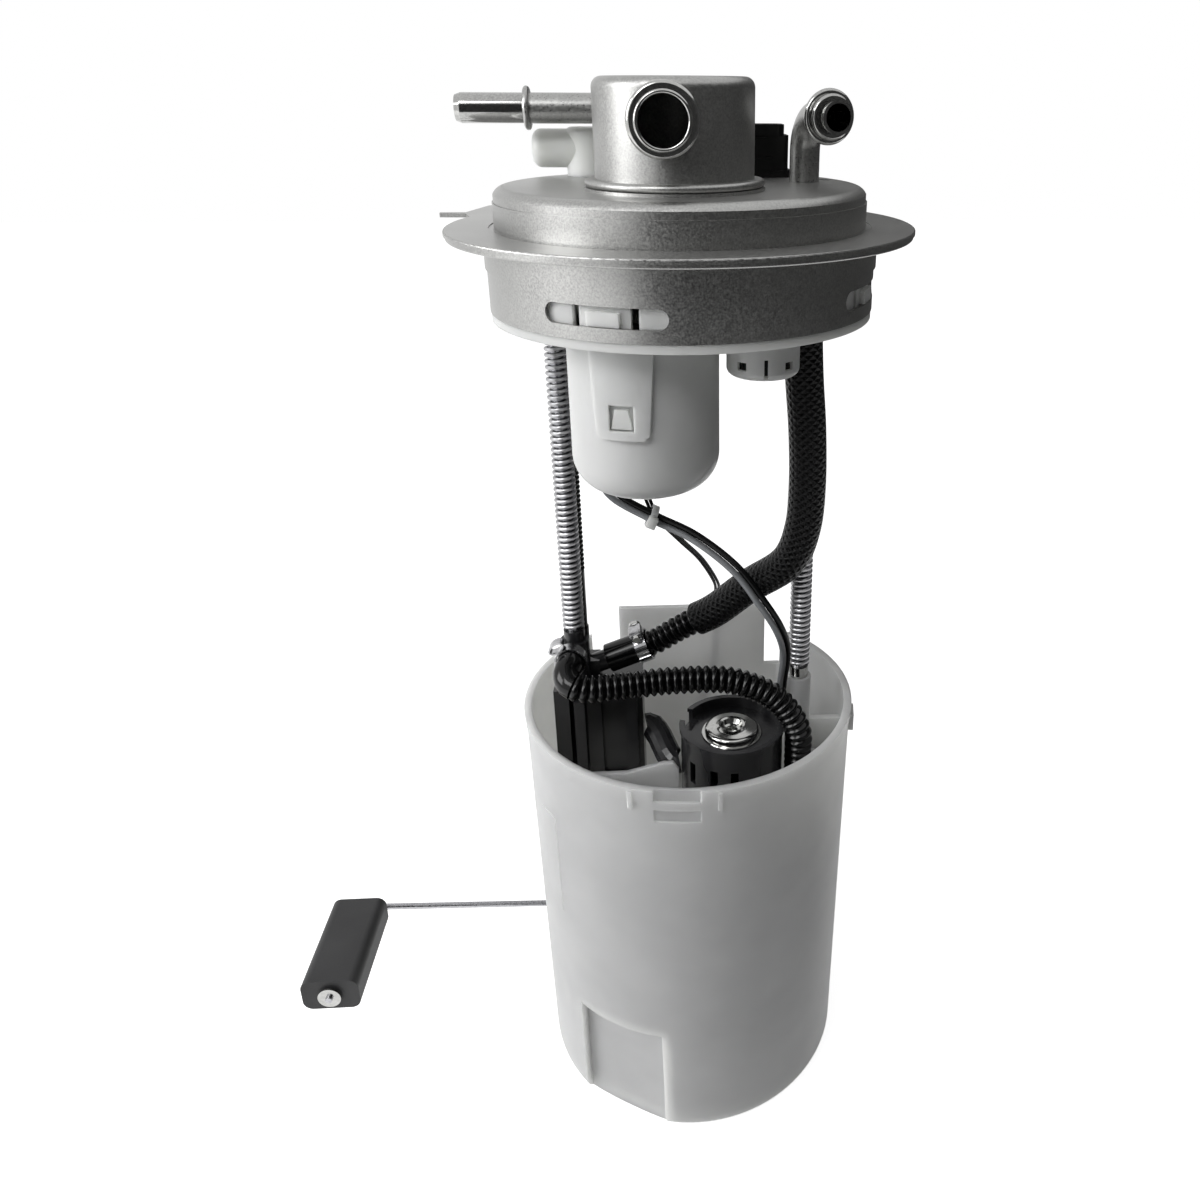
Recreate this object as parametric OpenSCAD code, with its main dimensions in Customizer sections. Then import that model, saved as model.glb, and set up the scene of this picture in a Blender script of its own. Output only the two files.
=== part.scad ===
// In-tank fuel pump module. Millimetres, +Z up.
// Origin: on the axis of the tank's opening, at the underside of the flange.

/* [Flange] */
// Outer radius of the flange
flange_r = 75; // [72:0.5:80]
// Thickness of each pressed steel sheet
sheet_t = 1.4; // [1:0.1:1.8]
// Radius of the raised dome
dome_r = 59.4; // [58:0.2:60]
// Height of the dome's top above the sealing face
dome_top = 15.1; // [13:0.1:18]
// Radius of the dome's pressed edge
dome_edge = 4; // [3:0.5:5]
// Radius of the band that pilots in the tank's opening
spigot_r = 63.2; // [61.5:0.1:63.5]
// Length of the pilot band
spigot_len = 9; // [6:0.5:10]
// Depth of the skirt below the sealing face
skirt_depth = 22.5; // [20:0.5:30]
// Length of each skirt slot
slot_len = 38; // [30:1:42]
// Height of each skirt slot
slot_h = 6; // [5:0.5:8]
// Depth of the slots' middle below the sealing face
slot_depth = 15.5; // [13.5:0.1:16.5]
// Bearing of the first skirt slot
slot_bearing = -112; // [-120:1:-100]

/* [Vapour can] */
// Radius of the can
can_r = 24; // [22:0.5:26]
// Height of the can's top above the sealing face
can_top = 46.5; // [42:0.5:52]
// Radius of the can's top edge
can_edge = 3; // [2:0.5:4]
// Centre of the can, sideways
can_x = -2; // [-4:0.5:2]
// Centre of the can, front to back
can_y = -18; // [-20:0.5:-14]
// Outer radius of the vapour port
port_r = 8; // [7:0.25:9]
// Height of the vapour port's axis
port_z = 35.2; // [32:0.2:36]
// How far the vapour port stands out of the can
port_len = 9; // [6:0.5:14]
// Sideways place of the vapour port
port_x = -5.2; // [-6:0.2:0]

/* [Tubes] */
// Radius of the feed tube
feed_r = 4.76; // [4:0.02:4.9]
// Height of the feed tube's axis
feed_z = 37; // [36.6:0.1:40]
// Distance from the axis to the feed tube's end
feed_reach = 73; // [68:0.5:80]
// Length of the feed tube's plug end, up to its bead
feed_plug = 23.2; // [18:0.2:26]
// Radius of the elbow tube
elbow_r = 4.9; // [4:0.1:5.2]
// Height of the elbow tube's axis at its end
elbow_z = 35.4; // [33:0.2:40]
// Reach of the elbow tube from its upright leg
elbow_reach = 27; // [24:0.5:30]
// Turn of the elbow tube's end
elbow_turn = 14; // [5:1:25]
// Wall of the steel tubes
tube_wall = 0.9; // [0.7:0.1:1]

/* [Connector and sensor] */
// Length of the connector
plug_l = 21; // [18:0.5:22]
// Width of the connector
plug_w = 12.5; // [11:0.5:13]
// Height of the connector above the dome
plug_h = 17; // [13:0.5:18]
// Radius of the pressure sensor's body
sensor_r = 7.2; // [6:0.2:7.4]
// Height of the pressure sensor above the dome
sensor_h = 15.9; // [14:0.1:16]
// Radius of the sensor's side barrel
barrel_r = 6.3; // [5:0.1:6.6]

/* [Carrier and valves] */
// Thickness of the carrier plate
plate_t = 2.8; // [2:0.1:4]
// Radius of the carrier's lip
lip_r = 62.3; // [62:0.1:63]
// Height of the carrier's inner wall
carrier_wall_h = 15.5; // [14:0.5:17]
// Outer radius of the vent valve's cup
cup_r = 23.9; // [22:0.1:24.4]
// Depth of the vent valve's cup below the carrier
cup_h = 52.2; // [45:0.2:58]
// Radius of the cup's bottom edge
cup_edge = 12; // [8:0.5:14]
// Wall of the cup
cup_wall = 1.6; // [1.2:0.1:2.4]
// Travel of the vent float
vent_travel = 10; // [6:0.5:12]
// Height of the vent float above the cup's floor
vent_rest = 6; // [5:0.5:8]
// Depth of the spring's pocket in the vent float
vent_pocket = 15; // [10:0.5:16]
// Outer radius of the rollover valve
roll_r = 11.5; // [10:0.1:12]
// Depth of the rollover valve below the carrier
roll_h = 14; // [11:0.2:18]
// Travel of the rollover float
roll_travel = 2.5; // [1.5:0.1:3]

/* [Guides and springs] */
// Distance of each guide rod from the axis
rod_x = 43; // [41.5:0.5:44]
// Radius of the guide rods
rod_r = 2.5; // [2:0.1:2.6]
// Outer radius of the springs
spring_r = 3.9; // [3.6:0.1:4.2]
// Wire thickness of the springs
spring_wire = 1; // [0.8:0.1:1.2]
// Coils of each spring
spring_coils = 60; // [50:1:70]
// Depth of the left spring's lower end
spring_end_l = 145; // [142:0.5:148]
// Depth of the right spring's lower end
spring_end_r = 163.6; // [160:0.2:166]
// Travel of the reservoir on its rods
travel = 40; // [30:1:45]

/* [Reservoir] */
// Outer radius at the rim
pot_r = 62.8; // [61:0.1:63]
// Outer radius at the foot
foot_r = 60.6; // [58:0.1:61]
// Depth of the rim below the sealing face
rim_depth = 174; // [170:1:178]
// Depth of the foot below the sealing face
foot_depth = 343; // [330:1:360]
// Wall of the reservoir
pot_wall = 2.4; // [2:0.1:3]
// Radius of the reservoir's lower edge
foot_edge = 9; // [6:0.5:12]
// Distance of the flat back from the axis
back_y = 48; // [46:0.5:52]
// Height of the back tongue above the rim
tongue_h = 13; // [8:0.5:20]

/* [Pump] */
// Radius of the pump cage
cage_r = 19.5; // [18.8:0.1:20.5]
// Wall of the cage
cage_wall = 1.5; // [1.2:0.1:1.8]
// Centre of the pump, sideways
pump_x = 16; // [15:0.5:17]
// Centre of the pump, front to back
pump_y = -13.5; // [-15:0.5:-12]
// Depth of the cage's top ring
cage_top = 180.5; // [179:0.5:186]
// Radius of the regulator's cap
reg_r = 11.6; // [10:0.1:12.4]
// Length of the pump's steel shell
shell_len = 70; // [60:1:76]
// Radius of the impeller
impeller_r = 14.4; // [12:0.2:14.6]

/* [Level sender] */
// Radius of the float arm's wire
arm_r = 1.4; // [1:0.1:1.6]
// Depth of the arm's pivot
pivot_depth = 330; // [326:1:332]
// Reach of the arm, sideways
arm_reach = 111.5; // [100:0.5:120]
// Rise of the float above the pivot in the stored pose
arm_rise = 33.8; // [20:0.2:40]
// Length of the float
float_l = 46; // [40:1:48]
// Width of the float
float_w = 23; // [18:0.5:28]
// Height of the float
float_h = 14.5; // [12:0.5:18]

/* [Hoses and wires] */
// Radius of the braided sleeve
sleeve_r = 6.4; // [5.6:0.1:6.6]
// Radius of the feed hose
hose_r = 4.4; // [4:0.1:4.5]
// Radius of the return hose
return_r = 5.2; // [4.6:0.1:5.3]
// Radius of the small drain tube
drain_r = 3.2; // [2.6:0.1:3.4]
// Radius of the pump's wires
wire_r = 1.2; // [0.8:0.1:1.25]
// Radius of the sender's wires
thin_r = 0.8; // [0.6:0.05:0.9]

/* [Hidden] */
$fn = 64;

// Clearances
fit_gap = 0.3;
slip_gap = 0.1;
run_gap = 0.05;

// Heads and plates
plate_top = -skirt_depth;
plate_bot = -skirt_depth - plate_t;
skirt_r = spigot_r - 0.6;
skirt_in = skirt_r - sheet_t;
carrier_r = skirt_in - fit_gap;
can_ring_r = can_r + 3.3;
port_wall = 1.25;
rim_in = flange_r - 0.5;
rim_edge = 0.5;
dome_in = dome_top - sheet_t;

// Tubes through the dome
feed_leg = [8, 24];
feed_drop = [40.5, -12];
feed_low = -2.5;
feed_tip = 1.8;
elbow_leg = [40.8, 9.6];
bend_r = 11;

// Connector and sensor places
plug_at = [26.8, 32];
sensor_at = [-31.5, 34];
barrel_reach = 18.5;

// Valves
cup_at = [-13, -25];
roll_at = [24.4, -30];
latch_bearing = -105;
latch_drop = 29;
latch_top_w = 20.3;
latch_low_w = 16.7;
latch_t = 1.6;

// Springs and rods
rod_top = plate_top + 12;
guide_len_l = 28;
guide_len_r = 34;
bush_h = 4.4;
post_r = 4.8;
clip_t = 1;
clip_r = 4.4;
guide_low_l = -spring_end_l - guide_len_l;
guide_low_r = -spring_end_r - bush_h - guide_len_r;
rod_tail = 5;
seat_h = 4.3;

// Reservoir
rim_z = -rim_depth;
foot_z = -foot_depth;
floor_t = 2.5;
floor_z = foot_z + 3;
rim_h = 6;
slot_drop = 16;
notch_w = 16.1;
notch_bearing = -95;
tongue_x0 = -28.7;
tongue_x1 = 33.8;
valve_at = [30, 12];
pocket_h = 53;
pocket_bearing = -120;
pocket_w = 37;
pocket_r = 54;

// Pump stack, from the regulator down
pump_at = [pump_x, pump_y];
deck_z = -cage_top - 4.2;
deck_t = 2.5;
cage_in = cage_r - cage_wall;
shell_r = cage_in - 1.1;
shell_wall = 1.2;
shell_top = -cage_top - 36;
shell_low = shell_top - shell_len;
cap_h = 7;
inlet_h = 9;
inlet_low = shell_low - inlet_h;
cage_low = inlet_low - 8;
shaft_r = 1.6;
transfer_r = 5;
transfer_bore = 3.4;
transfer_z = -cage_top - 16.1;

// Return hose start and the bracket, which hang on the left spring's end
bracket_x0 = -52;
bracket_x1 = -18;
bracket_y0 = -4;
bracket_y1 = 16;
bracket_step = -34;
bracket_top = -spring_end_l - seat_h;
bracket_mid = bracket_top - 20.7;
bracket_low = guide_low_l - 45;
bracket_foot = floor_z + floor_t;
channel_r = 5.2;
nipple_at = [-44, bracket_y0, bracket_top - 4.2];
feed_end = [-31, 9, bracket_top - 14.1];
feed_end_dir = [9.4, 0, 3.6];
worm_at = [-17.4, 9, bracket_top - 8.85];

// Jet pump under the return hose
jet_at = [41, -19];
jet_top = -312;
jet_z = -326;
jet_r = 6.6;

// Level sender
pivot_at = [-36, back_y + 7, -pivot_depth];
float_far = 20;
float_at = [pivot_at[0] - arm_reach, float_far + 2.5, -pivot_depth + arm_rise];

// Routes, as round numbers chosen along each hose and wire
sleeve_route = [
    [40.5, -12, plate_bot - 0.4], [41.5, -12, -45], [42.2, -12.2, -64], [42.2, -12.4, -84], [41, -12, -101],
    [36, -9.5, -115], [23, -1, -128.3], [11, 4.6, -140.8], [4, 7.4, -146]
];
hose_tail = [[-5, 9, feed_end[2] + 11.6], [-12.3, 9, feed_end[2] + 7.2], [-21.7, 9, feed_end[2] + 3.6], feed_end];
return_route = [
    nipple_at - [0, 1.5, 0], nipple_at - [0, 8, 0], nipple_at - [1.2, 11.6, 1.5], nipple_at - [-0.4, 15.4, 4.1],
    nipple_at - [-6.5, 16.4, 5.7], [-28, -18.8, -159.6], [-18, -17.4, -159.4], [-7, -16.8, -158.8], [10.5, -17, -158.6],
    [21.4, -17.6, -161], [30.6, -18, -165.8], [37, -18.8, -172.7], [40.9, -19.4, -181.4],
    [jet_at[0], jet_at[1], -191.5], [jet_at[0], jet_at[1], -215], [jet_at[0], jet_at[1], -255],
    [jet_at[0], jet_at[1], jet_top + 12]
];
wire_route = [
    [-24, 14, -26], [-29.5, 12, -60], [-30.5, 9.5, -82], [-27, 7, -93], [-12.4, 4, -101.5],
    [2.6, -3, -106.8], [17, -11, -116], [26.5, -13.8, -128.5], [33.6, -11.5, -141.5],
    [36.8, -7, -154], [36.2, -4, -168], [35.4, 0, -186], [33, 4.5, -200], [27.5, -2, -208], [21, -8.5, -210]
];
thin_route = [
    [-14, 16, -26], [-17, 14, -60], [-16, 11, -88], [-11.5, 8.4, -102.6], [-7.3, 12.5, -109.2],
    [-0.9, 22, -120.2], [6.4, 33, -132.9], [12.5, 44, -148], [13.6, 49.6, -156], [13.8, 49.8, -165],
    [11, 49.4, -190], [0, 49.4, 95 - pivot_depth], [-16, 49.4, 55 - pivot_depth], [-26, 49.6, 36 - pivot_depth]
];

// Straight unit vector and vector helpers
function unit(v) = v / norm(v);
function mix(a, b, t) = a + (b - a) * t;

// A smooth curve through route points, with so many steps between two points
function curve_point(p0, p1, p2, p3, t) =
    0.5 * (2 * p1 + (p2 - p0) * t + (2 * p0 - 5 * p1 + 4 * p2 - p3) * t * t
        + (3 * p1 - 3 * p2 + p3 - p0) * t * t * t);
function smooth_route(p, steps) = [
    for (i = [0 : len(p) - 2], s = [0 : steps - 1])
        curve_point(p[max(i - 1, 0)], p[i], p[i + 1], p[min(i + 2, len(p) - 1)], s / steps),
    p[len(p) - 1]
];

// Tangents, and side vectors carried along the curve without twist
function tangents(p) = [
    for (i = [0 : len(p) - 1]) unit(p[min(i + 1, len(p) - 1)] - p[max(i - 1, 0)])
];
function flatten_to(v, t) = unit(v - t * (v * t));
function carried_sides(t, side, i = 0) =
    i == len(t) ? [] : let (s = flatten_to(side, t[i])) concat([s], carried_sides(t, s, i + 1));

// A hose of radius r along a smooth curve, with a bore when bore is over zero
module swept_tube(path, r, sides, first_side, bore = 0) {
    t = tangents(path);
    u = carried_sides(t, first_side);
    n = len(path);
    rings = bore > 0 ? [r, bore] : [r];
    points = [
        for (ring = rings, i = [0 : n - 1], k = [0 : sides - 1])
            let (v = cross(t[i], u[i]), a = 360 * k / sides)
                path[i] + ring * (u[i] * cos(a) + v * sin(a))
    ];
    outer = [
        for (i = [0 : n - 2], k = [0 : sides - 1])
            let (m = (k + 1) % sides)
                [i * sides + k, (i + 1) * sides + k, (i + 1) * sides + m, i * sides + m]
    ];
    base = n * sides;
    inner = [
        for (i = [0 : n - 2], k = [0 : sides - 1])
            let (m = (k + 1) % sides)
                [base + i * sides + m, base + (i + 1) * sides + m, base + (i + 1) * sides + k, base + i * sides + k]
    ];
    last = (n - 1) * sides;
    solid_ends = [
        [for (k = [0 : sides - 1]) k],
        [for (k = [sides - 1 : -1 : 0]) last + k]
    ];
    ring_ends = [
        for (k = [0 : sides - 1])
            let (m = (k + 1) % sides) each [
                [k, m, base + m, base + k],
                [last + m, last + k, base + last + k, base + last + m]
            ]
    ];
    polyhedron(points, bore > 0 ? concat(outer, inner, ring_ends) : concat(outer, solid_ends), 4);
}

// Places a child that runs along +Z so that it runs from a along direction d
module along(a, d) {
    u = unit(d);
    translate(a) rotate([0, acos(u[2]), atan2(u[1], u[0])]) children();
}

// How much a corner shortens the straight runs on both sides of it
function turn_at(p, i) = acos(unit(p[i] - p[i - 1]) * unit(p[i + 1] - p[i]));
function cut_at(p, i, r) = i <= 0 || i >= len(p) - 1 ? 0 : r * tan(turn_at(p, i) / 2);

// A round tube or wire bent along points, each corner an arc of radius turn_r
module bent_tube(p, r, bore, turn_r) {
    for (i = [0 : len(p) - 2]) {
        d = unit(p[i + 1] - p[i]);
        run = norm(p[i + 1] - p[i]) - cut_at(p, i, turn_r) - cut_at(p, i + 1, turn_r);
        along(p[i] + d * cut_at(p, i, turn_r), d) tube_run(r, bore, run);
    }
    for (i = [1 : len(p) - 2]) {
        d = unit(p[i] - p[i - 1]);
        e = unit(p[i + 1] - p[i]);
        side = unit(e - d * (d * e));
        c = p[i] - d * cut_at(p, i, turn_r) + side * turn_r;
        z = cross(-side, d);
        multmatrix([
            [-side[0], d[0], z[0], c[0]],
            [-side[1], d[1], z[1], c[1]],
            [-side[2], d[2], z[2], c[2]],
            [0, 0, 0, 1]
        ]) rotate_extrude(angle = turn_at(p, i)) translate([turn_r, 0]) difference() {
            circle(r);
            if (bore > 0) circle(bore);
        }
    }
}

// A wire through points, with a ball of its own radius in each corner
module bent_wire(p, r) {
    for (i = [0 : len(p) - 2]) along(p[i], p[i + 1] - p[i]) cylinder(r = r, h = norm(p[i + 1] - p[i]));
    for (i = [1 : len(p) - 2]) translate(p[i]) sphere(r);
}

module tube_run(r, bore, h) difference() {
    cylinder(r = r, h = h);
    if (bore > 0) translate([0, 0, -1]) cylinder(r = bore, h = h + 2);
}

// Half section of a round can with a rounded top edge, standing on zero
module can_section(r, h, edge) {
    square([r - edge, h]);
    square([r, h - edge]);
    translate([r - edge, h - edge]) intersection() {
        circle(edge);
        square(edge);
    }
}

module ring(r_out, r_in, h) difference() {
    cylinder(r = r_out, h = h);
    translate([0, 0, -1]) cylinder(r = r_in, h = h + 2);
}

// A bar with round ends, as long and wide as given, centred, from zero up
module round_bar(l, w, h) {
    translate([-(l - w) / 2, -w / 2, 0]) cube([l - w, w, h]);
    for (s = [-1, 1]) translate([s * (l - w) / 2, 0, 0]) cylinder(d = w, h = h);
}

// A block with four round upright edges, centred, from zero up
module round_block(l, w, h, edge) {
    translate([-l / 2 + edge, -w / 2, 0]) cube([l - 2 * edge, w, h]);
    translate([-l / 2, -w / 2 + edge, 0]) cube([l, w - 2 * edge, h]);
    for (sx = [-1, 1], sy = [-1, 1])
        translate([sx * (l / 2 - edge), sy * (w / 2 - edge), 0]) cylinder(r = edge, h = h);
}

// A tube bead: a rounded ring round a tube that runs along +Z
module tube_bead(r, bead_r, h) rotate_extrude() {
    translate([r - tube_wall / 2, 0]) square([bead_r - h / 2 - r + tube_wall / 2, h]);
    translate([bead_r - h / 2, h / 2]) circle(h / 2);
}

// The hooked locating tab, laid out from the flange's rim
tab_outline = [
    [-2, 131.1], [12.7, 133.2], [16.2, 140.6], [8, 154.7], [16.1, 157.2], [14.6, 158.9],
    [5.9, 157.1], [1.7, 161], [-2.7, 165.6]
];

// Steel cover: flange disc, raised dome with a crease and a foot groove, and the locating tab
module flange_cover() color("silver") difference() {
    union() {
        rotate_extrude() {
            translate([0, sheet_t]) can_section(flange_r, sheet_t, rim_edge);
            translate([0, sheet_t]) can_section(dome_r, dome_top - sheet_t, dome_edge);
        }
        translate([0, 0, sheet_t]) linear_extrude(sheet_t)
            polygon([for (q = tab_outline) (flange_r + q[0]) * [cos(q[1]), sin(q[1])]]);
    }
    translate([0, 0, dome_top - 4.5]) ring(dome_r + 1, dome_r - 0.4, 6);
    translate([0, 0, 2 * sheet_t - 0.3]) ring(dome_r + 1.8, dome_r + 0.2, 1);
    translate([48.9, 16.5, dome_top - 0.4]) cylinder(r = 2.2, h = 1);
    rotate_extrude() can_section(dome_r - sheet_t, dome_in, dome_edge - sheet_t);
    translate([can_x, can_y, 0]) cylinder(r = can_r - 4, h = 2 * dome_top);
    translate([feed_leg[0], feed_leg[1], 0]) cylinder(r = feed_r + slip_gap, h = 2 * dome_top);
    translate([elbow_leg[0], elbow_leg[1], 0]) cylinder(r = elbow_r + slip_gap, h = 2 * dome_top);
    translate([plug_at[0], plug_at[1], 0]) round_block(plug_l - 4, plug_w - 4, 2 * dome_top, 2);
    translate([sensor_at[0], sensor_at[1], 0]) cylinder(r = sensor_r - 1.7, h = 2 * dome_top);
}

// Steel skirt: out-turned flange, pilot band and slotted wall
module skirt() color("silver") difference() {
    rotate_extrude() {
        translate([skirt_in, 0]) square([rim_in - rim_edge - skirt_in, sheet_t]);
        translate([skirt_in, rim_edge]) square([rim_in - skirt_in, sheet_t - rim_edge]);
        translate([rim_in - rim_edge, rim_edge]) circle(rim_edge);
        translate([skirt_in, -spigot_len]) square([spigot_r - skirt_in, spigot_len + sheet_t]);
        translate([skirt_in, -skirt_depth]) square([sheet_t, skirt_depth]);
    }
    for (i = [0 : 3])
        rotate([0, 0, slot_bearing + 90 * i]) translate([skirt_r - 8, 0, -slot_depth])
            rotate([0, 90, 0]) rotate([0, 0, 90]) round_bar(slot_len, slot_h, 16);
}

module vapor_can() color("silver") translate([can_x, can_y, dome_top]) difference() {
    rotate_extrude() {
        can_section(can_r, can_top - dome_top, can_edge);
        square([can_ring_r, 0.9]);
        square([can_ring_r - 1.4, 3.3]);
        translate([can_ring_r - 1.4, 2.1]) circle(1.2);
    }
    translate([0, 0, -1]) rotate_extrude()
        can_section(can_r - sheet_t, can_top - dome_top - sheet_t + 1, can_edge - sheet_t);
    translate([port_x - can_x, 0, port_z - dome_top]) rotate([90, 0, 0])
        cylinder(r = port_r + slip_gap, h = can_r + 5);
}

// Vapour port: a tube with a rolled lip, and a bead that holds its hose
module vapor_port() color("silver") translate([port_x, can_y - can_r - port_len, port_z]) rotate([-90, 0, 0]) {
    rotate_extrude() {
        translate([port_r - port_wall, port_wall / 2]) square([port_wall, port_len + 3.5 - port_wall / 2]);
        translate([port_r - port_wall / 2, port_wall / 2]) circle(port_wall / 2);
    }
    translate([0, 0, port_len - 3.4]) difference() {
        tube_bead(port_r, port_r + 2.3, 2.4);
        translate([0, 0, -1]) cylinder(r = port_r - port_wall / 2, h = 5);
    }
}

// The feed tube's corners: plug end, through the dome, under it to the hose
feed_points = [
    [-feed_reach, feed_leg[1], feed_z],
    [feed_leg[0], feed_leg[1], feed_z],
    [feed_leg[0], feed_leg[1], feed_low],
    [feed_drop[0], feed_leg[1], feed_low],
    [feed_drop[0], feed_drop[1], feed_low],
    [feed_drop[0], feed_drop[1], plate_bot]
];

module feed_tube() color("gainsboro") {
    difference() {
        bent_tube(feed_points, feed_r, feed_r - tube_wall, bend_r);
        translate([-feed_reach - 0.1, feed_leg[1], feed_z]) rotate([0, 90, 0]) difference() {
            cylinder(r = feed_r + 1, h = feed_tip + 0.1);
            translate([0, 0, -0.1]) cylinder(r1 = feed_r - 0.7, r2 = feed_r + 0.06, h = feed_tip + 0.4);
        }
    }
    translate([-feed_reach + feed_plug - 1, feed_leg[1], feed_z]) rotate([0, 90, 0])
        tube_bead(feed_r, feed_r + 2.1, 2);
}

module elbow_tube() color("silver")
    translate([elbow_leg[0], elbow_leg[1], 0]) rotate([0, 0, elbow_turn]) {
        bent_tube([
            [0, 0, dome_in - 3],
            [0, 0, elbow_z],
            [0, -elbow_reach, elbow_z]
        ], elbow_r, elbow_r - tube_wall, bend_r);
        translate([0, -elbow_reach + 8.5, elbow_z]) rotate([90, 0, 0]) tube_bead(elbow_r, elbow_r + 3.3, 2);
        translate([0, -elbow_reach + 6, elbow_z]) rotate([90, 0, 0]) tube_bead(elbow_r, elbow_r + 1.8, 2);
    }

// Connector header: sealed foot, body with latch steps, and an open socket
module connector_body() color("dimgray") translate([plug_at[0], plug_at[1], dome_top]) difference() {
    union() {
        round_block(plug_l + 2, plug_w + 2, 2.4, 3);
        translate([0, 0, 2.4]) round_block(plug_l, plug_w, plug_h - 2.4 - 3.4, 1.5);
        translate([0, 0, plug_h - 3.5]) round_block(plug_l - 3, plug_w + 1, 3.5, 2.5);
        translate([-plug_l / 2 + 2, -plug_w / 2 - 1.2, 2.4]) cube([13.3, 3, 4]);
        translate([-plug_l / 2 + 2, -plug_w / 2 - 0.6, 6.3]) cube([11.4, 3, 6.7]);
        translate([0, 0, -6]) round_block(plug_l - 4.4, plug_w - 4.4, 7, 2);
    }
    translate([0, 0, 4]) round_block(plug_l - 6.4, plug_w - 4, plug_h, 1.5);
}

module connector_terminals() color("gold") for (i = [-1.5 : 1 : 1.5])
    translate([plug_at[0] + 4 * i - 0.8, plug_at[1] - 0.4, dome_top + 4]) cube([1.6, 0.8, plug_h - 7]);

module connector_seal() color("black") translate([plug_at[0], plug_at[1], dome_in - 1.8]) difference() {
    round_block(plug_l, plug_w, 1.8, 3);
    translate([0, 0, -1]) round_block(plug_l - 4, plug_w - 4, 4, 2);
}

module pressure_sensor() color("white") translate([sensor_at[0], sensor_at[1], dome_top]) {
    rotate_extrude() can_section(sensor_r, sensor_h, 2);
    translate([0, 0, 9]) rotate([0, -90, 0]) rotate_extrude() can_section(barrel_r, barrel_reach, 3);
    translate([0, 0, -6]) cylinder(r = sensor_r - 3.4, h = 7);
}

module sensor_grommet() color("black") translate([sensor_at[0], sensor_at[1], dome_in - 2]) difference() {
    union() {
        cylinder(r = sensor_r, h = 2);
        cylinder(r = sensor_r - 1.8, h = 2 + sheet_t);
    }
    translate([0, 0, -1]) cylinder(r = sensor_r - 3.3, h = 6);
}

// One latch tongue that hugs the cup, with its window
module cup_latch(bearing) intersection() {
    translate([0, 0, plate_bot - latch_drop]) ring(cup_r + 0.2 + latch_t, cup_r + 0.2, latch_drop + 0.1);
    rotate([0, 0, bearing + 90]) rotate([90, 0, 0]) difference() {
        linear_extrude(2 * cup_r) polygon([
            [-latch_top_w / 2, plate_bot + 1], [latch_top_w / 2, plate_bot + 1],
            [latch_low_w / 2, plate_bot - latch_drop + 1.5], [latch_low_w / 2 - 1.5, plate_bot - latch_drop],
            [1.5 - latch_low_w / 2, plate_bot - latch_drop], [-latch_low_w / 2, plate_bot - latch_drop + 1.5]
        ]);
        translate([-3.9, plate_bot - 26.2, 0]) cube([7.8, 8, 2 * cup_r]);
    }
}

// Carrier: plate, lip, inner wall with snap tongues, rod sockets and cup latches
module carrier_plate() color("whitesmoke") difference() {
    union() {
        translate([0, 0, plate_bot]) cylinder(r = lip_r, h = plate_t);
        translate([0, 0, plate_top - 0.1]) ring(carrier_r, carrier_r - 2, carrier_wall_h + 0.1);
        for (i = [0 : 3]) rotate([0, 0, slot_bearing + 90 * i])
            translate([carrier_r - 1.5, -5, -slot_depth - 2.8]) cube([2.9, 10, 4.2]);
        for (s = [-1, 1]) translate([s * rod_x, 0, plate_top - 0.1]) cylinder(r = rod_r + 3, h = 14);
        translate([feed_drop[0], feed_drop[1], plate_top - 0.1]) cylinder(r = feed_r + 2, h = 5);
        translate([cup_at[0], cup_at[1], 0])
            for (b = [latch_bearing, latch_bearing + 180]) cup_latch(b);
        translate([cup_at[0], cup_at[1], plate_top - 0.1]) ring(9, 7, 6);
    }
    for (i = [0 : 3], s = [-1, 1]) rotate([0, 0, slot_bearing + 90 * i + s * 8.6])
        translate([carrier_r - 4, -1.2, plate_top + 1]) cube([8, 2.4, carrier_wall_h]);
    for (s = [-1, 1]) translate([s * rod_x, 0, plate_bot - 1]) cylinder(r = rod_r + run_gap, h = rod_top - plate_bot + 1);
    translate([feed_drop[0], feed_drop[1], plate_bot - 1]) cylinder(r = feed_r + slip_gap, h = 12);
    translate([cup_at[0], cup_at[1], plate_bot - 1]) cylinder(r = 4, h = 8);
    translate([roll_at[0], roll_at[1], plate_bot - 1]) cylinder(r = 2.2, h = 8);
    translate([wire_route[0][0], wire_route[0][1], plate_bot - 1]) cylinder(r = 4, h = 8);
    translate([thin_route[0][0], thin_route[0][1], plate_bot - 1]) cylinder(r = 3, h = 8);
    translate([-0.97 * rod_x, 10, plate_bot - 1]) cylinder(r = drain_r - 1, h = 8);
}

module valve_cup() color("whitesmoke") translate([cup_at[0], cup_at[1], plate_bot]) {
    difference() {
        mirror([0, 0, 1]) rotate_extrude() can_section(cup_r, cup_h, cup_edge);
        mirror([0, 0, 1]) translate([0, 0, -1]) rotate_extrude()
            can_section(cup_r - cup_wall, cup_h - cup_wall + 1, cup_edge - cup_wall);
        for (b = [40, 110]) rotate([0, 0, b]) translate([cup_r - 4, -4, -12]) cube([8, 8, 4]);
    }
    for (b = [latch_bearing, latch_bearing + 180]) rotate([0, 0, b])
        translate([cup_r - 0.8, -3.2, -25.6]) rotate([90, 0, 90])
            linear_extrude(2) polygon([[0, 0], [6.4, 0], [5.2, 6], [1.2, 6]]);
}

module vent_float() color("black") translate([cup_at[0], cup_at[1], 0]) {
    low = plate_bot - cup_h + cup_wall + vent_rest;
    tall = cup_h - cup_wall - vent_rest - vent_travel - 8.5;
    translate([0, 0, low]) difference() {
        mirror([0, 0, 1]) translate([0, 0, -tall]) rotate_extrude() can_section(cup_r - cup_wall - 2, tall, 9);
        translate([0, 0, -1]) cylinder(r = 6, h = vent_pocket + 1);
    }
    translate([0, 0, low + tall - 0.1]) cylinder(r1 = 6, r2 = 2.5, h = 5.1);
}

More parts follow.
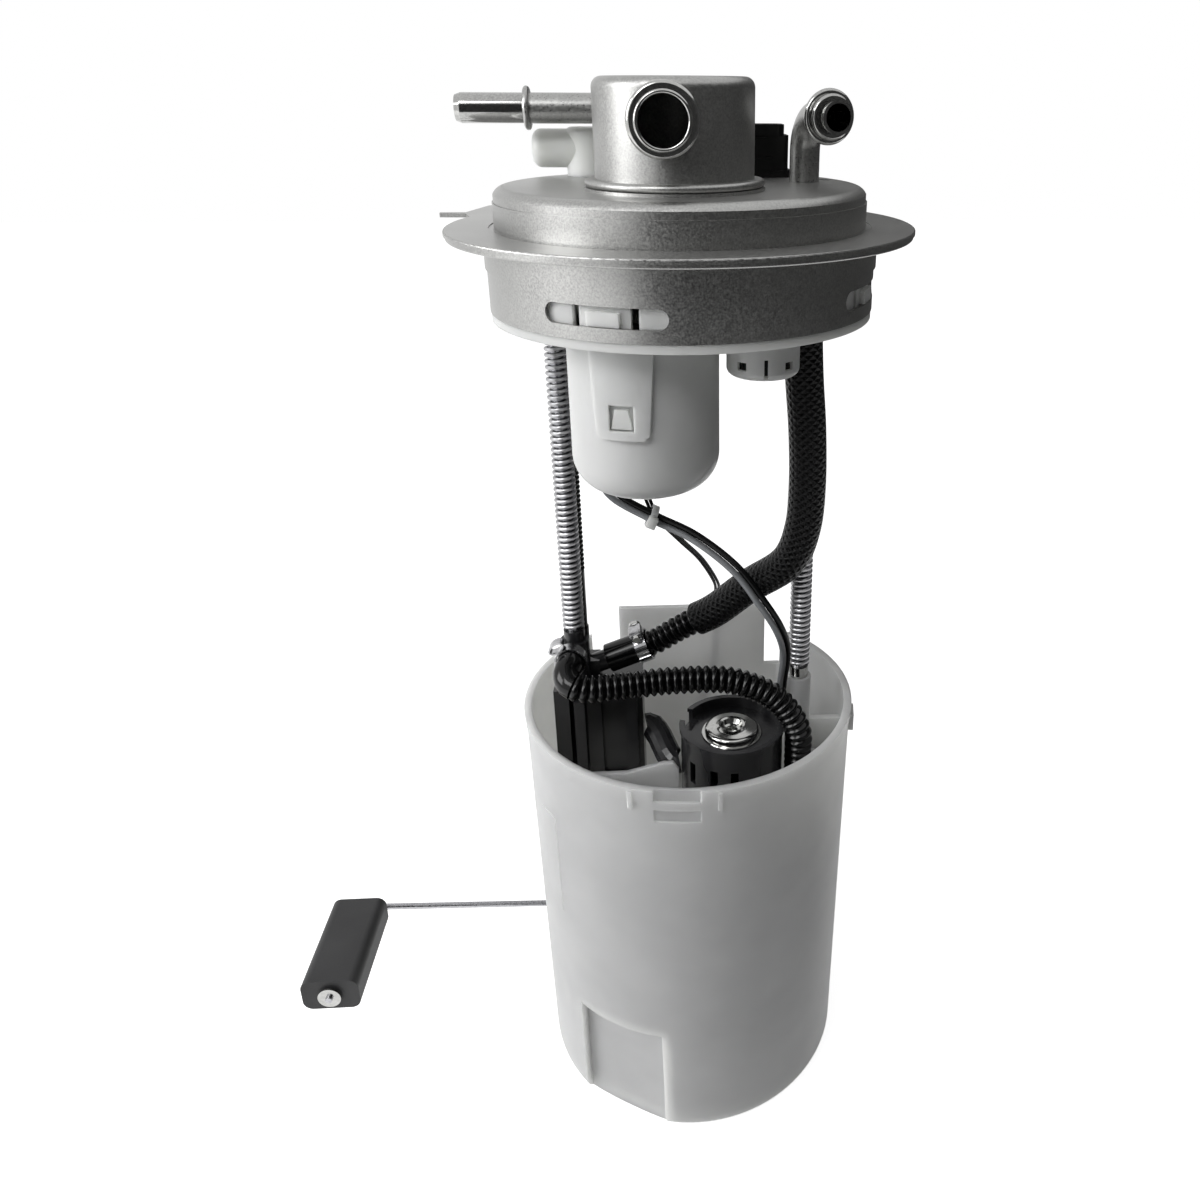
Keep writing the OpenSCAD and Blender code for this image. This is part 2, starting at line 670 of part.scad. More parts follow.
module vent_spring() color("silver") translate([cup_at[0], cup_at[1], plate_bot - cup_h + cup_wall])
    rotate_extrude() {
        pitch = (vent_rest + vent_pocket - 1 - fit_gap) / 9;
        for (i = [0 : 9]) translate([3.2, 0.5 + i * pitch]) circle(0.5);
        translate([3, 0.5]) square([0.25, 9 * pitch]);
    }

module rollover_cap() color("whitesmoke") translate([roll_at[0], roll_at[1], plate_bot]) difference() {
    mirror([0, 0, 1]) rotate_extrude() can_section(roll_r, roll_h, 2.5);
    mirror([0, 0, 1]) translate([0, 0, -1]) rotate_extrude() can_section(roll_r - 1.4, roll_h + 1 - 1.4, 1.2);
    for (b = [-130, -50, 50, 130]) rotate([0, 0, b]) translate([roll_r - 3, -1.7, -roll_h + 3.2]) cube([6, 3.4, 2.6]);
    for (b = [-90, 90]) rotate([0, 0, b]) translate([roll_r - 3, -0.6, -roll_h + 1]) cube([6, 1.2, 6]);
}

module rollover_float() color("black") translate([roll_at[0], roll_at[1], plate_bot - roll_h + 1.5]) {
    cylinder(r = roll_r - 2.6, h = roll_h - roll_travel - 4.5);
    translate([0, 0, roll_h - roll_travel - 4.6]) cylinder(r1 = 3, r2 = 1.2, h = 2.8);
}

module guide_rod(side, low) color("silver") translate([side * rod_x, 0, low]) {
    cylinder(r = rod_r, h = rod_top - low);
}
module guide_rod_left() guide_rod(-1, guide_low_l - rod_tail);
module guide_rod_right() guide_rod(1, guide_low_r - rod_tail);

module rod_clips() color("gray") for (p = [[-1, guide_low_l], [1, guide_low_r]])
    translate([p[0] * rod_x, 0, p[1] - fit_gap - clip_t]) difference() {
        cylinder(r = clip_r, h = clip_t);
        translate([0, 0, -1]) cylinder(r = rod_r + run_gap, h = clip_t + 2);
        translate([0, -1.5, -1]) cube([clip_r + 1, 3, clip_t + 2]);
    }

// A compression spring as a ribbed sleeve: one rib for each coil
module spring_sleeve(side, low) color("silver") translate([side * rod_x, 0, low]) {
    pitch = (plate_bot - low - spring_wire) / (spring_coils - 1);
    rotate_extrude() {
        for (i = [0 : spring_coils - 1]) translate([spring_r - spring_wire / 2, spring_wire / 2 + i * pitch])
            circle(d = spring_wire, $fn = 16);
        translate([spring_r - spring_wire * 0.75, spring_wire / 2]) square([spring_wire / 4, plate_bot - low - spring_wire]);
    }
}
module spring_left() spring_sleeve(-1, -spring_end_l);
module spring_right() spring_sleeve(1, -spring_end_r);

module braided_sleeve() color("black")
    swept_tube(smooth_route(sleeve_route, 3), sleeve_r, 12, [0, 1, 0], hose_r + fit_gap);

module feed_hose() color("black")
    swept_tube(smooth_route(concat(sleeve_route, hose_tail), 3), hose_r, 10, [0, 1, 0]);

module drain_tube() color("black") translate([-0.97 * rod_x, 10, bracket_top])
    cylinder(r = drain_r, h = plate_bot - bracket_top);

// The two pump wires run side by side, and turn their pair near the end cap
wire_side = [for (i = [0 : len(wire_route) - 1]) i < 12 ? [1.2, 0.5, 0.9] : [1.5, -1, 0]];
module pump_wire(s) swept_tube(
    smooth_route([for (i = [0 : len(wire_route) - 1]) wire_route[i] + s * wire_side[i]], 1), wire_r, 8, [0, 1, 0]);
module wire_black() color("black") pump_wire(1);
module wire_grey() color("gray") pump_wire(-1);
module sender_wires() color("black") for (s = [-1, 1])
    swept_tube(smooth_route([for (p = thin_route) p + s * [0.95, 0, 0]], 1), thin_r, 8, [1, 0, 0]);

module cable_tie() color("white") translate([-12.4, 5.6, -102]) rotate([0, -65, 0]) {
    difference() {
        cube([10.8, 10.8, 2.6], center = true);
        cube([9.1, 9.1, 4], center = true);
    }
    translate([0, -6.3, 0]) cube([4.4, 2.6, 3.6], center = true);
}

// Outline of the reservoir's body, drawn in by an inset, between two heights
module pot_body(inset, low, top) difference() {
    intersection() {
        translate([0, 0, low]) union() {
            h = top - low;
            edge = foot_edge - inset;
            translate([0, 0, edge]) cylinder(r1 = foot_r - inset, r2 = pot_r - inset, h = h - edge);
            rotate_extrude() {
                square([foot_r - inset - edge, edge + 0.1]);
                translate([foot_r - inset - edge, edge]) circle(edge);
            }
        }
        translate([-100, -100, low]) cube([200, 100 + back_y - inset, top - low]);
    }
    rotate([0, 0, pocket_bearing]) translate([pocket_r - inset, -pocket_w / 2 - inset, low - 1])
        cube([30, pocket_w + 2 * inset, pocket_h + 1 + foot_z - low + inset]);
}

module rod_post() translate([rod_x, 0, guide_low_r]) {
    cylinder(r = post_r, h = guide_len_r);
    translate([0, -1.5, 0]) cube([pot_r - rod_x - 1.4, 3, guide_len_r - 20]);
}

// Reservoir: tapered pot with a flat back, raised tongue, foot pocket and guide post
module reservoir() color("whitesmoke") difference() {
    union() {
        difference() {
            pot_body(0, foot_z, rim_z);
            pot_body(pot_wall, floor_z + floor_t, rim_z + 1);
            translate([0, 0, foot_z - 1]) cylinder(r = foot_r - foot_edge - 3, h = floor_z - foot_z + 1);
        }
        translate([0, 0, rim_z - rim_h]) intersection() {
            difference() {
                cylinder(r1 = pot_r + 0.1, r2 = pot_r + 0.6, h = rim_h);
                translate([0, 0, -1]) cylinder(r = pot_r - pot_wall, h = rim_h + 2);
            }
            translate([-100, -100, -1]) cube([200, 100 + back_y - pot_wall, rim_h + 2]);
        }
        translate([tongue_x0, back_y - pot_wall, rim_z - slot_drop])
            cube([tongue_x1 - tongue_x0, pot_wall, slot_drop + tongue_h]);
        rod_post();
        intersection() {
            translate([0, -40, 0]) rotate([90, 0, 0]) linear_extrude(2) polygon([
                [-48, rim_z - 40], [-48, rim_z - 7], [-23, rim_z - 7], [-10, rim_z - 3.4],
                [-6.5, rim_z - 3.4], [-4.6, rim_z - 6.5], [-4.6, rim_z - 40]
            ]);
            pot_body(1, foot_z, rim_z);
        }
        rotate([0, 0, -8]) translate([pot_r - 0.4, -4, rim_z - 12]) cube([2, 8, 7]);
        for (b = [-14.8, 13.4]) rotate([0, 0, notch_bearing + b])
            translate([pot_r - 1, -0.8, rim_z - 8]) cube([2, 1.6, 7]);
        intersection() {
            rotate([0, 0, -148]) translate([pot_r - 2.3, -5, rim_z - 73]) cube([4, 10, 44]);
            pot_body(-0.4, foot_z, rim_z);
        }
    }
    translate([rod_x, 0, guide_low_r - 1]) cylinder(r = rod_r + run_gap, h = guide_len_r + 2);
    for (x = [tongue_x0 - 12, tongue_x1])
        translate([x, back_y - pot_wall - 1, rim_z - slot_drop]) cube([12, pot_wall + 2, slot_drop + 1]);
    for (z = [-13, -4.5]) rotate([0, 0, notch_bearing])
        translate([pot_r - 1.2, -notch_w / 2, rim_z + z]) cube([4, notch_w, z < -5 ? 5 : 6]);
    translate([valve_at[0], valve_at[1], foot_z - 1]) {
        for (b = [0 : 90 : 270]) rotate([0, 0, b]) translate([4.6, 0, 0]) cylinder(r = 1.6, h = 12);
        cylinder(r = 1.6, h = 12);
    }
}

module spring_bush() color("silver") translate([rod_x, 0, -spring_end_r - bush_h])
    ring(spring_r - 0.3, rod_r + slip_gap, bush_h);

module spring_seat() color("black") translate([-rod_x, 0, bracket_top])
    ring(spring_r, rod_r + slip_gap, seat_h);

// Black bracket: guide for the left rod, hose nipples, ribbed face and a leg to the floor
module hose_bracket() color("black") difference() {
    union() {
        translate([-rod_x, 0, bracket_mid - 1]) cylinder(r = 5.4, h = bracket_top - bracket_mid + 1);
        translate([-0.97 * rod_x, 10, bracket_mid - 1]) cylinder(r = drain_r + 0.2, h = bracket_top - bracket_mid + 1);
        translate([-41, 4.5, bracket_mid - 1]) cube([6.5, 9, 9]);
        translate([bracket_x0, bracket_y0, bracket_low])
            cube([bracket_x1 - bracket_x0, bracket_y1 - bracket_y0, bracket_mid - bracket_low]);
        translate([bracket_x0 + 8, bracket_y0 - 5, bracket_low]) cube([4, 6, bracket_mid - bracket_low - 2]);
        translate([bracket_x1 - 6, bracket_y0 - 5, bracket_low]) cube([4, 6, bracket_mid - bracket_low]);
        translate([bracket_x0 + 3, 6, bracket_foot]) cube([10, 8, bracket_low - bracket_foot + 1]);
        translate([nipple_at[0], nipple_at[1] - 1.2, nipple_at[2]]) rotate([-90, 0, 0])
            cylinder(r = return_r - 1.2, h = 4.2);
        along(feed_end, feed_end_dir) translate([0, 0, -7]) cylinder(r = hose_r - 0.4, h = 7 - fit_gap);
    }
    translate([-rod_x, 0, bracket_low - 1]) cylinder(r = rod_r + run_gap, h = 80);
    translate([-rod_x, 0, bracket_low - 1]) cylinder(r = channel_r, h = guide_low_l - bracket_low + 1);
    translate([bracket_step, bracket_y0 - 1, bracket_low + 6]) cube([9, 5, bracket_mid - bracket_low - 12]);
}

module hose_clamp_left() color("silver") translate(nipple_at - [0, 4.8, 0]) rotate([90, 0, 0]) rotate([0, 0, 130]) {
    translate([0, 0, -3]) ring(return_r + 0.9, return_r + 0.15, 6);
    for (s = [-1, 1]) translate([return_r + 0.5, s * 1.6 - 0.5, -2]) cube([6, 1, 4]);
}

module hose_clamp_worm() color("silver") along(worm_at, feed_end_dir) {
    translate([0, 0, -3.5]) ring(hose_r + 1, hose_r + 0.2, 7);
    translate([-hose_r - 4.6, -4, -3.5]) difference() {
        cube([4.2, 8, 7]);
        translate([1.6, -1, 3.5]) rotate([-90, 0, 0]) cylinder(r = 1.7, h = 10);
    }
}

module clamp_screw() color("silver") along(worm_at, feed_end_dir)
    translate([-hose_r - 3, -4.6, 0]) rotate([-90, 0, 0]) {
        cylinder(r = 1.6, h = 10);
        translate([0, 0, -2]) cylinder(r = 2.8, h = 2.1, $fn = 6);
    }

module return_hose() color("black")
    swept_tube(smooth_route(return_route, 2), return_r, 12, [1, 0, 0.3]);

// Moulded elbow that carries fuel from the bracket to the pump's cage
module transfer_tube() color("black") swept_tube(smooth_route([
    [bracket_x1 + 1.45, -1, transfer_z + 7.8],
    [bracket_x1 + 3.35, -1.2, transfer_z + 7.7],
    [bracket_x1 + 6.4, -5.2, transfer_z + 5.2],
    [bracket_x1 + 9.1, -10.8, transfer_z + 1.8],
    [pump_x - cage_r - 3.1, pump_y, transfer_z],
    [pump_x - cage_r - 1.2, pump_y, transfer_z]
], 2), transfer_r, 14, [0, 0, 1]);

// Cage: open ring, deck for the regulator, windows and snap slots
module pump_cage() color("black") translate([pump_x, pump_y, 0]) difference() {
    union() {
        translate([0, 0, cage_low]) ring(cage_r, cage_in, -cage_top - cage_low);
        translate([0, 0, -cage_top - 1.6]) ring(cage_r + 0.6, cage_in, 1.6);
        translate([0, 0, deck_z - deck_t]) ring(cage_r - 0.5, reg_r - 1.6, deck_t);
        translate([0, 0, cage_low]) ring(cage_r, cage_r - 5, 2);
        for (b = [-20, 40, 100]) rotate([0, 0, b]) translate([cage_r - 2.5, 0, bracket_foot])
            cylinder(r = 2, h = cage_low - bracket_foot + 1);
    }
    rotate([0, 0, 158]) translate([cage_in - 3, -4, -cage_top - 6]) cube([8, 8, 7]);
    for (b = [-142, -113, -90, -20, 20, 75]) rotate([0, 0, b])
        translate([cage_in - 2, -1.5, -cage_top - 18]) cube([6, 3, 9]);
    rotate([0, 0, 40]) translate([cage_in - 4, -6, shell_top]) cube([10, 12, 18]);
    for (b = [0 : 60 : 300]) rotate([0, 0, b]) translate([cage_in - 4, -4, cage_low + 12]) cube([10, 8, 40]);
    rotate([0, 0, 180]) translate([cage_in - 4, 0, transfer_z]) rotate([0, 90, 0]) cylinder(r = transfer_bore, h = 10);
}

module pressure_regulator() color("silver") translate([pump_x, pump_y, deck_z]) difference() {
    union() {
        rotate_extrude() {
            can_section(reg_r, 3.4, 1.6);
            translate([4, 3.3]) circle(0.9);
        }
        translate([0, 0, -18]) cylinder(r = reg_r - 2, h = 18.1);
    }
    translate([0, 0, 2]) cylinder(r = 3.1, h = 4);
    translate([0, 0, -2]) cylinder(r = 1.9, h = 8);
}

module pump_end_cap() color("black") translate([pump_x, pump_y, shell_top]) difference() {
    union() {
        cylinder(r = shell_r, h = cap_h - 3);
        translate([0, 0, -6]) cylinder(r = shell_r - shell_wall - slip_gap, h = 6.1);
        translate([-6, 4, 0]) cylinder(r = 3.5, h = cap_h + 4);
    }
    translate([0, 0, -7]) cylinder(r = shaft_r + run_gap, h = 8);
    translate([-6, 4, -7]) cylinder(r = 1.8, h = 30);
    translate([0, 0, -7]) ring(10, 4, 3);
}

module pump_shell() color("silver") translate([pump_x, pump_y, shell_low]) ring(shell_r, shell_r - shell_wall, shell_len);

module pump_magnets() color("dimgray") translate([pump_x, pump_y, shell_low + 14]) intersection() {
    ring(shell_r - shell_wall - slip_gap, shell_r - shell_wall - 3, shell_len - 28);
    for (s = [0, 180]) rotate([0, 0, s]) translate([0, -9, 0]) cube([20, 18, shell_len]);
}

module pump_armature() color("peru") translate([pump_x, pump_y, 0]) {
    translate([0, 0, inlet_low + 3]) cylinder(r = shaft_r, h = shell_top - 1 - inlet_low - 3);
    translate([0, 0, shell_low + 14]) difference() {
        cylinder(r = shell_r - shell_wall - 3.6, h = shell_len - 28);
        for (b = [0 : 45 : 315]) rotate([0, 0, b]) translate([shell_r - 7, -0.6, -1]) cube([6, 1.2, shell_len]);
    }
    translate([0, 0, shell_top - 14]) cylinder(r = 6, h = 6);
}

module pump_impeller() color("saddlebrown") translate([pump_x, pump_y, shell_low - 4.2]) difference() {
    cylinder(r = impeller_r, h = 3);
    translate([0, 0, -1]) cylinder(r = shaft_r + run_gap, h = 5);
    for (b = [0 : 15 : 345]) rotate([0, 0, b]) translate([impeller_r - 2.4, -0.6, -1]) cube([4, 1.2, 5]);
}

module pump_inlet_cover() color("dimgray") translate([pump_x, pump_y, inlet_low]) difference() {
    union() {
        cylinder(r = shell_r, h = inlet_h);
        translate([0, 0, inlet_h - 0.1]) cylinder(r = shell_r - shell_wall - slip_gap, h = 6);
        translate([4, -7, -5]) cylinder(r = 4, h = 5.1);
    }
    translate([0, 0, 4.6]) cylinder(r = impeller_r + 0.3, h = 3.6);
    translate([0, 0, 2.5]) cylinder(r = shaft_r + run_gap, h = 20);
    translate([4, -7, -6]) cylinder(r = 2.6, h = 11);
}

module pump_isolators() color("black") translate([pump_x, pump_y, 0])
    for (z = [shell_low + 6, shell_top - 12]) translate([0, 0, z]) ring(cage_in - slip_gap, shell_r + slip_gap, 5);

// Suction strainer: a flat cushion on the floor with a neck up to the pump
module strainer() color("white") {
    neck_x = pump_x + 4;
    neck_y = pump_y - 7;
    translate([neck_x - 14, neck_y + 4, bracket_foot + fit_gap])
        hull() for (x = [-16, 16], y = [-12, 12]) translate([x, y, 3.5]) sphere(r = 3.5, $fn = 24);
    translate([neck_x, neck_y, bracket_foot + 5]) ring(5.6, 4 + slip_gap, inlet_low - 5 - bracket_foot);
}

// Jet pump at the end of the return hose
module jet_pump() color("black") {
    translate([jet_at[0], jet_at[1], jet_top]) cylinder(r = return_r - 0.2, h = 12 - fit_gap);
    translate([jet_at[0], jet_at[1], bracket_foot + 7]) cylinder(r = jet_r, h = jet_top - bracket_foot - 7);
    translate([jet_at[0], jet_at[1], bracket_foot]) cylinder(r1 = jet_r - 3, r2 = jet_r, h = 7);
    translate([jet_at[0], jet_at[1], jet_z]) rotate([-90, 0, 0]) difference() {
        cylinder(r = 4.6, h = 34);
        translate([0, 0, 8]) cylinder(r = 3, h = 30);
    }
}

module umbrella_valve() color("black") translate([valve_at[0], valve_at[1], bracket_foot]) {
    translate([0, 0, 0.1]) cylinder(r = 7.2, h = 1.2);
    translate([0, 0, -floor_t - 0.4]) cylinder(r = 1.5, h = floor_t + 1);
}

module sender_housing() color("black") difference() {
    union() {
        translate([-44, back_y + 0.1, -pivot_depth - 9]) cube([30, 2.4, 17]);
        translate([-38, back_y + 0.1, -pivot_depth]) cube([24, 2.4, 35]);
        translate([pivot_at[0], back_y + 0.1, -pivot_depth]) rotate([-90, 0, 0]) cylinder(r = 6, h = 3.6);
        translate([-38, back_y + 0.1, -pivot_depth + 33]) cube([24, 4.5, 2]);
    }
    translate([pivot_at[0], back_y - 1, -pivot_depth]) rotate([-90, 0, 0]) cylinder(r = arm_r + run_gap, h = 10);
    translate([-36, back_y + 1.6, -pivot_depth + 10]) cube([18, 2, 16]);
}

module sender_card() color("white") translate([-35.9, back_y + 1.7, -pivot_depth + 10.1]) cube([17.8, 0.8, 15.8]);

module wiper() color("gold") translate([pivot_at[0], back_y + 3.8, -pivot_depth]) rotate([-90, 0, 0]) {
    ring(3, arm_r + run_gap, 0.7);
    translate([-2, -18, 0]) cube([4, 15.5, 0.5]);
}

module float_arm() color("silver") bent_wire([
    [pivot_at[0], back_y + 0.4, pivot_at[2]],
    pivot_at,
    float_at,
    [float_at[0], float_far - float_l - 3, float_at[2]]
], arm_r);

module float() color("dimgray") translate([float_at[0], float_far, float_at[2]]) rotate([90, 0, 0]) difference() {
    round_block(float_w, float_h, float_l, 4);
    translate([0, 0, -1]) cylinder(r = arm_r + run_gap, h = float_l + 2);
}

module push_nut() color("gainsboro") translate([float_at[0], float_far - float_l - 1, float_at[2]]) rotate([90, 0, 0])
    ring(4.6, arm_r + run_gap, 0.8);

flange_cover();
skirt();
vapor_can();
vapor_port();
feed_tube();
elbow_tube();
connector_body();
connector_terminals();
connector_seal();
pressure_sensor();
sensor_grommet();
carrier_plate();
valve_cup();
vent_float();
vent_spring();
rollover_cap();
rollover_float();
guide_rod_left();
guide_rod_right();
rod_clips();
spring_left();
spring_right();
braided_sleeve();
feed_hose();
drain_tube();
wire_black();
wire_grey();
sender_wires();
cable_tie();
reservoir();
spring_bush();
spring_seat();
hose_bracket();
hose_clamp_left();
hose_clamp_worm();
clamp_screw();
return_hose();
transfer_tube();
pump_cage();
pressure_regulator();
pump_end_cap();
pump_shell();
pump_magnets();
pump_armature();
pump_impeller();
pump_inlet_cover();
pump_isolators();
strainer();
jet_pump();
umbrella_valve();
sender_housing();
sender_card();
wiper();
float_arm();
float();
push_nut();
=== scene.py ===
# %% [markdown]
# # An in-tank fuel pump module
# The module hangs in a fuel tank: a steel head closes the opening, two sprung rods press a milky nylon
# reservoir on the tank's floor, and a float on a wire arm reads the level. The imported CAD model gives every
# rigid shape, so this lesson dresses those shapes and models what CAD only stands in for: the coiled springs,
# the corrugated and braided hoses, the wires and the small steel parts.

# %% Load the frame
import bmesh
import bpy
import math
import random
from mathutils import Matrix, Vector


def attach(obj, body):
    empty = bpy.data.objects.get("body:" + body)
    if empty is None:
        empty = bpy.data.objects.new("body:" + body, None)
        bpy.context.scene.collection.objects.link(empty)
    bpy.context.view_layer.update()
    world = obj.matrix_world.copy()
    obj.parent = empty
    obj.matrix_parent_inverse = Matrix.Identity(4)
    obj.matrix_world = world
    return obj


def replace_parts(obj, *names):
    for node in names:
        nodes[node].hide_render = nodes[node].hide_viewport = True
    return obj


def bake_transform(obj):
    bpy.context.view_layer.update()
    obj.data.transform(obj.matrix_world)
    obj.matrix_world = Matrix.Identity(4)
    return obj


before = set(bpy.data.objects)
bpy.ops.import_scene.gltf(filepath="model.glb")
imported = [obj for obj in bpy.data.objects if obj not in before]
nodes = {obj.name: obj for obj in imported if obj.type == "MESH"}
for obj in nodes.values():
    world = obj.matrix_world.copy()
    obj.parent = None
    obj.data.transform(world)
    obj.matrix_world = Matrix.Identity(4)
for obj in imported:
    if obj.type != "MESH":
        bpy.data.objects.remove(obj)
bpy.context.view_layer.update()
scene = bpy.context.scene

# %% [markdown]
# ## Small helpers
# Sizes are easiest to read in millimetres and Blender works in metres, so one function converts points.
# Colours are written as sRGB hex values, as a colour picker shows them, and one makes them linear. Another
# adds a shader node with its values and links in one call, so a material reads like its node graph. All
# patterns here are given by a real size in millimetres, and noise_of turns that size into a noise texture.

# %% Helpers for sizes, colours and nodes
def mm(x, y, z):
    return Vector((x, y, z)) / 1000


def colour(code):
    channels = [int(code[i:i + 2], 16) / 255 for i in (1, 3, 5)]
    return tuple(c / 12.92 if c <= 0.04045 else ((c + 0.055) / 1.055) ** 2.4 for c in channels) + (1.0,)


def add_node(tree, kind, values=None, links=None, **settings):
    node = tree.nodes.new(kind)
    for name, value in settings.items():
        setattr(node, name, value)
    for socket, value in (values or {}).items():
        node.inputs[socket].default_value = value
    for socket, output in (links or {}).items():
        tree.links.new(output, node.inputs[socket])
    return node


def start_material(name, base, metallic, roughness):
    material = bpy.data.materials.new(name)
    material.use_nodes = True
    tree = material.node_tree
    shader = tree.nodes["Principled BSDF"]
    shader.inputs["Base Color"].default_value = colour(base)
    shader.inputs["Metallic"].default_value = metallic
    shader.inputs["Roughness"].default_value = roughness
    place = add_node(tree, "ShaderNodeTexCoord")
    return material, tree, shader, place


def mix_colours(tree, shader, factor, low, high, start, end):
    ramp = add_node(tree, "ShaderNodeValToRGB", links={"Fac": factor})
    first, last = ramp.color_ramp.elements
    first.color, first.position = colour(low), start
    last.color, last.position = colour(high), end
    tree.links.new(ramp.outputs["Color"], shader.inputs["Base Color"])


def noise_of(tree, place, size_mm, detail, **values):
    settings = {"Scale": 1000 / size_mm, "Detail": detail, **values}
    noise = add_node(tree, "ShaderNodeTexNoise", settings, {"Vector": place.outputs["Object"]})
    return noise.outputs["Fac"]


def add_bump(tree, shader, height, strength, depth_mm):
    bump = add_node(tree, "ShaderNodeBump",
                    {"Strength": strength, "Distance": depth_mm / 1000}, {"Height": height})
    tree.links.new(bump.outputs["Normal"], shader.inputs["Normal"])


print("helpers ready")

# %% [markdown]
# ## Steel finishes
# The head is deep-drawn stainless steel, blasted to a fine even grain: soft highlights that break up into
# specks. Its tube ends, the rods and the clamps are drawn or turned and stay bright. Both are one recipe with
# other numbers: metallic base, noise for the grain, and the same noise in roughness and bump. Real blasting
# grit leaves pits of about 0.2 mm, which a pixel would swallow, so the grain is drawn at 0.6 mm.

# %% Make the steel finishes
def grained_steel(name, low, high, roughness, grain_mm, bump, cloud_mm=40, spread=0.08):
    material, tree, shader, place = start_material(name, high, 1.0, roughness)
    grain = noise_of(tree, place, grain_mm, 2.0, Roughness=0.6)
    cloud = noise_of(tree, place, cloud_mm, 3.0)
    cloud_part = add_node(tree, "ShaderNodeMath", {1: 0.35}, {0: cloud}, operation="MULTIPLY")
    both = add_node(tree, "ShaderNodeMath", {1: 0.65}, {0: grain, 2: cloud_part.outputs[0]},
                    operation="MULTIPLY_ADD")
    mix_colours(tree, shader, both.outputs[0], low, high, 0.35, 0.65)
    smooth, coarse = roughness - spread, roughness + spread
    rough = add_node(tree, "ShaderNodeMapRange",
                     {"From Min": 0.3, "From Max": 0.7, "To Min": smooth, "To Max": coarse}, {"Value": grain})
    tree.links.new(rough.outputs["Result"], shader.inputs["Roughness"])
    add_bump(tree, shader, grain, bump, 0.05)
    return material


blasted_stainless = grained_steel("blasted_stainless_steel", "#949493", "#b2b2b0", 0.37, 0.6, 0.5)
turned_stainless = grained_steel("turned_stainless_steel", "#a9a9a7", "#b9b9b7", 0.14, 1.5, 0.04, 40, 0.03)
drawn_wire = grained_steel("zinc_plated_drawn_wire", "#a0a0a4", "#bdbdc0", 0.28, 1.5, 0.05)
spring_wire = grained_steel("zinc_plated_spring_wire", "#a4a4a6", "#b8b8ba", 0.34, 2.0, 0.02, 40, 0.03)
clamp_steel = grained_steel("bright_clamp_steel", "#9e9ea0", "#bcbcbe", 0.22, 1.5, 0.03, 40, 0.04)
print("steels:", blasted_stainless.name, turned_stainless.name, drawn_wire.name, spring_wire.name)

# %% [markdown]
# ## A tube that is polished only where a hose seals on it
# The feed tube is bright up to its bead, and so is the elbow's mouth: a push-on connector seals there.
# The rest keeps its grain. Both stretches end at a plane, so one Object coordinate decides the roughness: a
# Map Range makes a soft step of 1 mm at that plane, and the step picks the roughness and fades the grain.

# %% Make the tubes' finish
def part_polished(name, axis, plane_mm, sign):
    material = grained_steel(name, "#9a9a99", "#b4b4b2", 0.34, 0.8, 0.5)
    tree = material.node_tree
    shader = tree.nodes["Principled BSDF"]
    grain_rough = shader.inputs["Roughness"].links[0].from_socket
    grain_bump = shader.inputs["Normal"].links[0].from_node
    place = next(n for n in tree.nodes if n.type == "TEX_COORD")
    split = add_node(tree, "ShaderNodeSeparateXYZ", links={"Vector": place.outputs["Object"]})
    step = add_node(tree, "ShaderNodeMapRange", {"From Min": (plane_mm - sign * 0.5) / 1000,
                                                 "From Max": (plane_mm + sign * 0.5) / 1000},
                    {"Value": split.outputs[axis]})
    rough = add_node(tree, "ShaderNodeMapRange", {"To Max": 0.12},
                     {"Value": step.outputs["Result"], "To Min": grain_rough})
    tree.links.new(rough.outputs["Result"], shader.inputs["Roughness"])
    fade = add_node(tree, "ShaderNodeMapRange", {"To Min": 0.5, "To Max": 0.05},
                    {"Value": step.outputs["Result"]})
    tree.links.new(fade.outputs["Result"], grain_bump.inputs["Strength"])
    return material


feed_steel = part_polished("part_polished_feed_tube", "X", -50.5, -1)
elbow_steel = part_polished("part_polished_elbow_tube", "Y", -2.0, -1)
print("tube finishes:", feed_steel.name, elbow_steel.name)

# %% [markdown]
# ## Moulded plastics and rubber
# The pot is natural acetal and the carrier and valve cups are white nylon. Both let light in a little way,
# so their shadows stay pale. The black parts are filled nylon with a dull sheen. A faint mottling keeps them
# from looking like paint, and a very shallow noise bump gives the moulded skin. Black rubber, wire and hose
# scatter less light at their surface than hard plastic, so they take a lower shine.

# %% Make the plastics
def moulded(name, low, high, roughness, skin_mm=1.2, bump=0.12, glow=0.0, depth_mm=6, shine=0.5):
    material, tree, shader, place = start_material(name, high, 0.0, roughness)
    shader.inputs["Specular IOR Level"].default_value = shine
    shader.inputs["IOR"].default_value = 1.48
    cloud_mm = 30
    mix_colours(tree, shader, noise_of(tree, place, cloud_mm, 2.0), low, high, 0.3, 0.7)
    skin = noise_of(tree, place, skin_mm, 3.0)
    rough = add_node(tree, "ShaderNodeMapRange", {"To Min": roughness - 0.05, "To Max": roughness + 0.08},
                     {"Value": skin})
    tree.links.new(rough.outputs["Result"], shader.inputs["Roughness"])
    if glow > 0:
        shader.inputs["Subsurface Weight"].default_value = glow
        shader.inputs["Subsurface Radius"].default_value = (1.0, 1.0, 0.95)
        shader.inputs["Subsurface Scale"].default_value = depth_mm / 1000
    add_bump(tree, shader, skin, bump, 0.03)
    return material


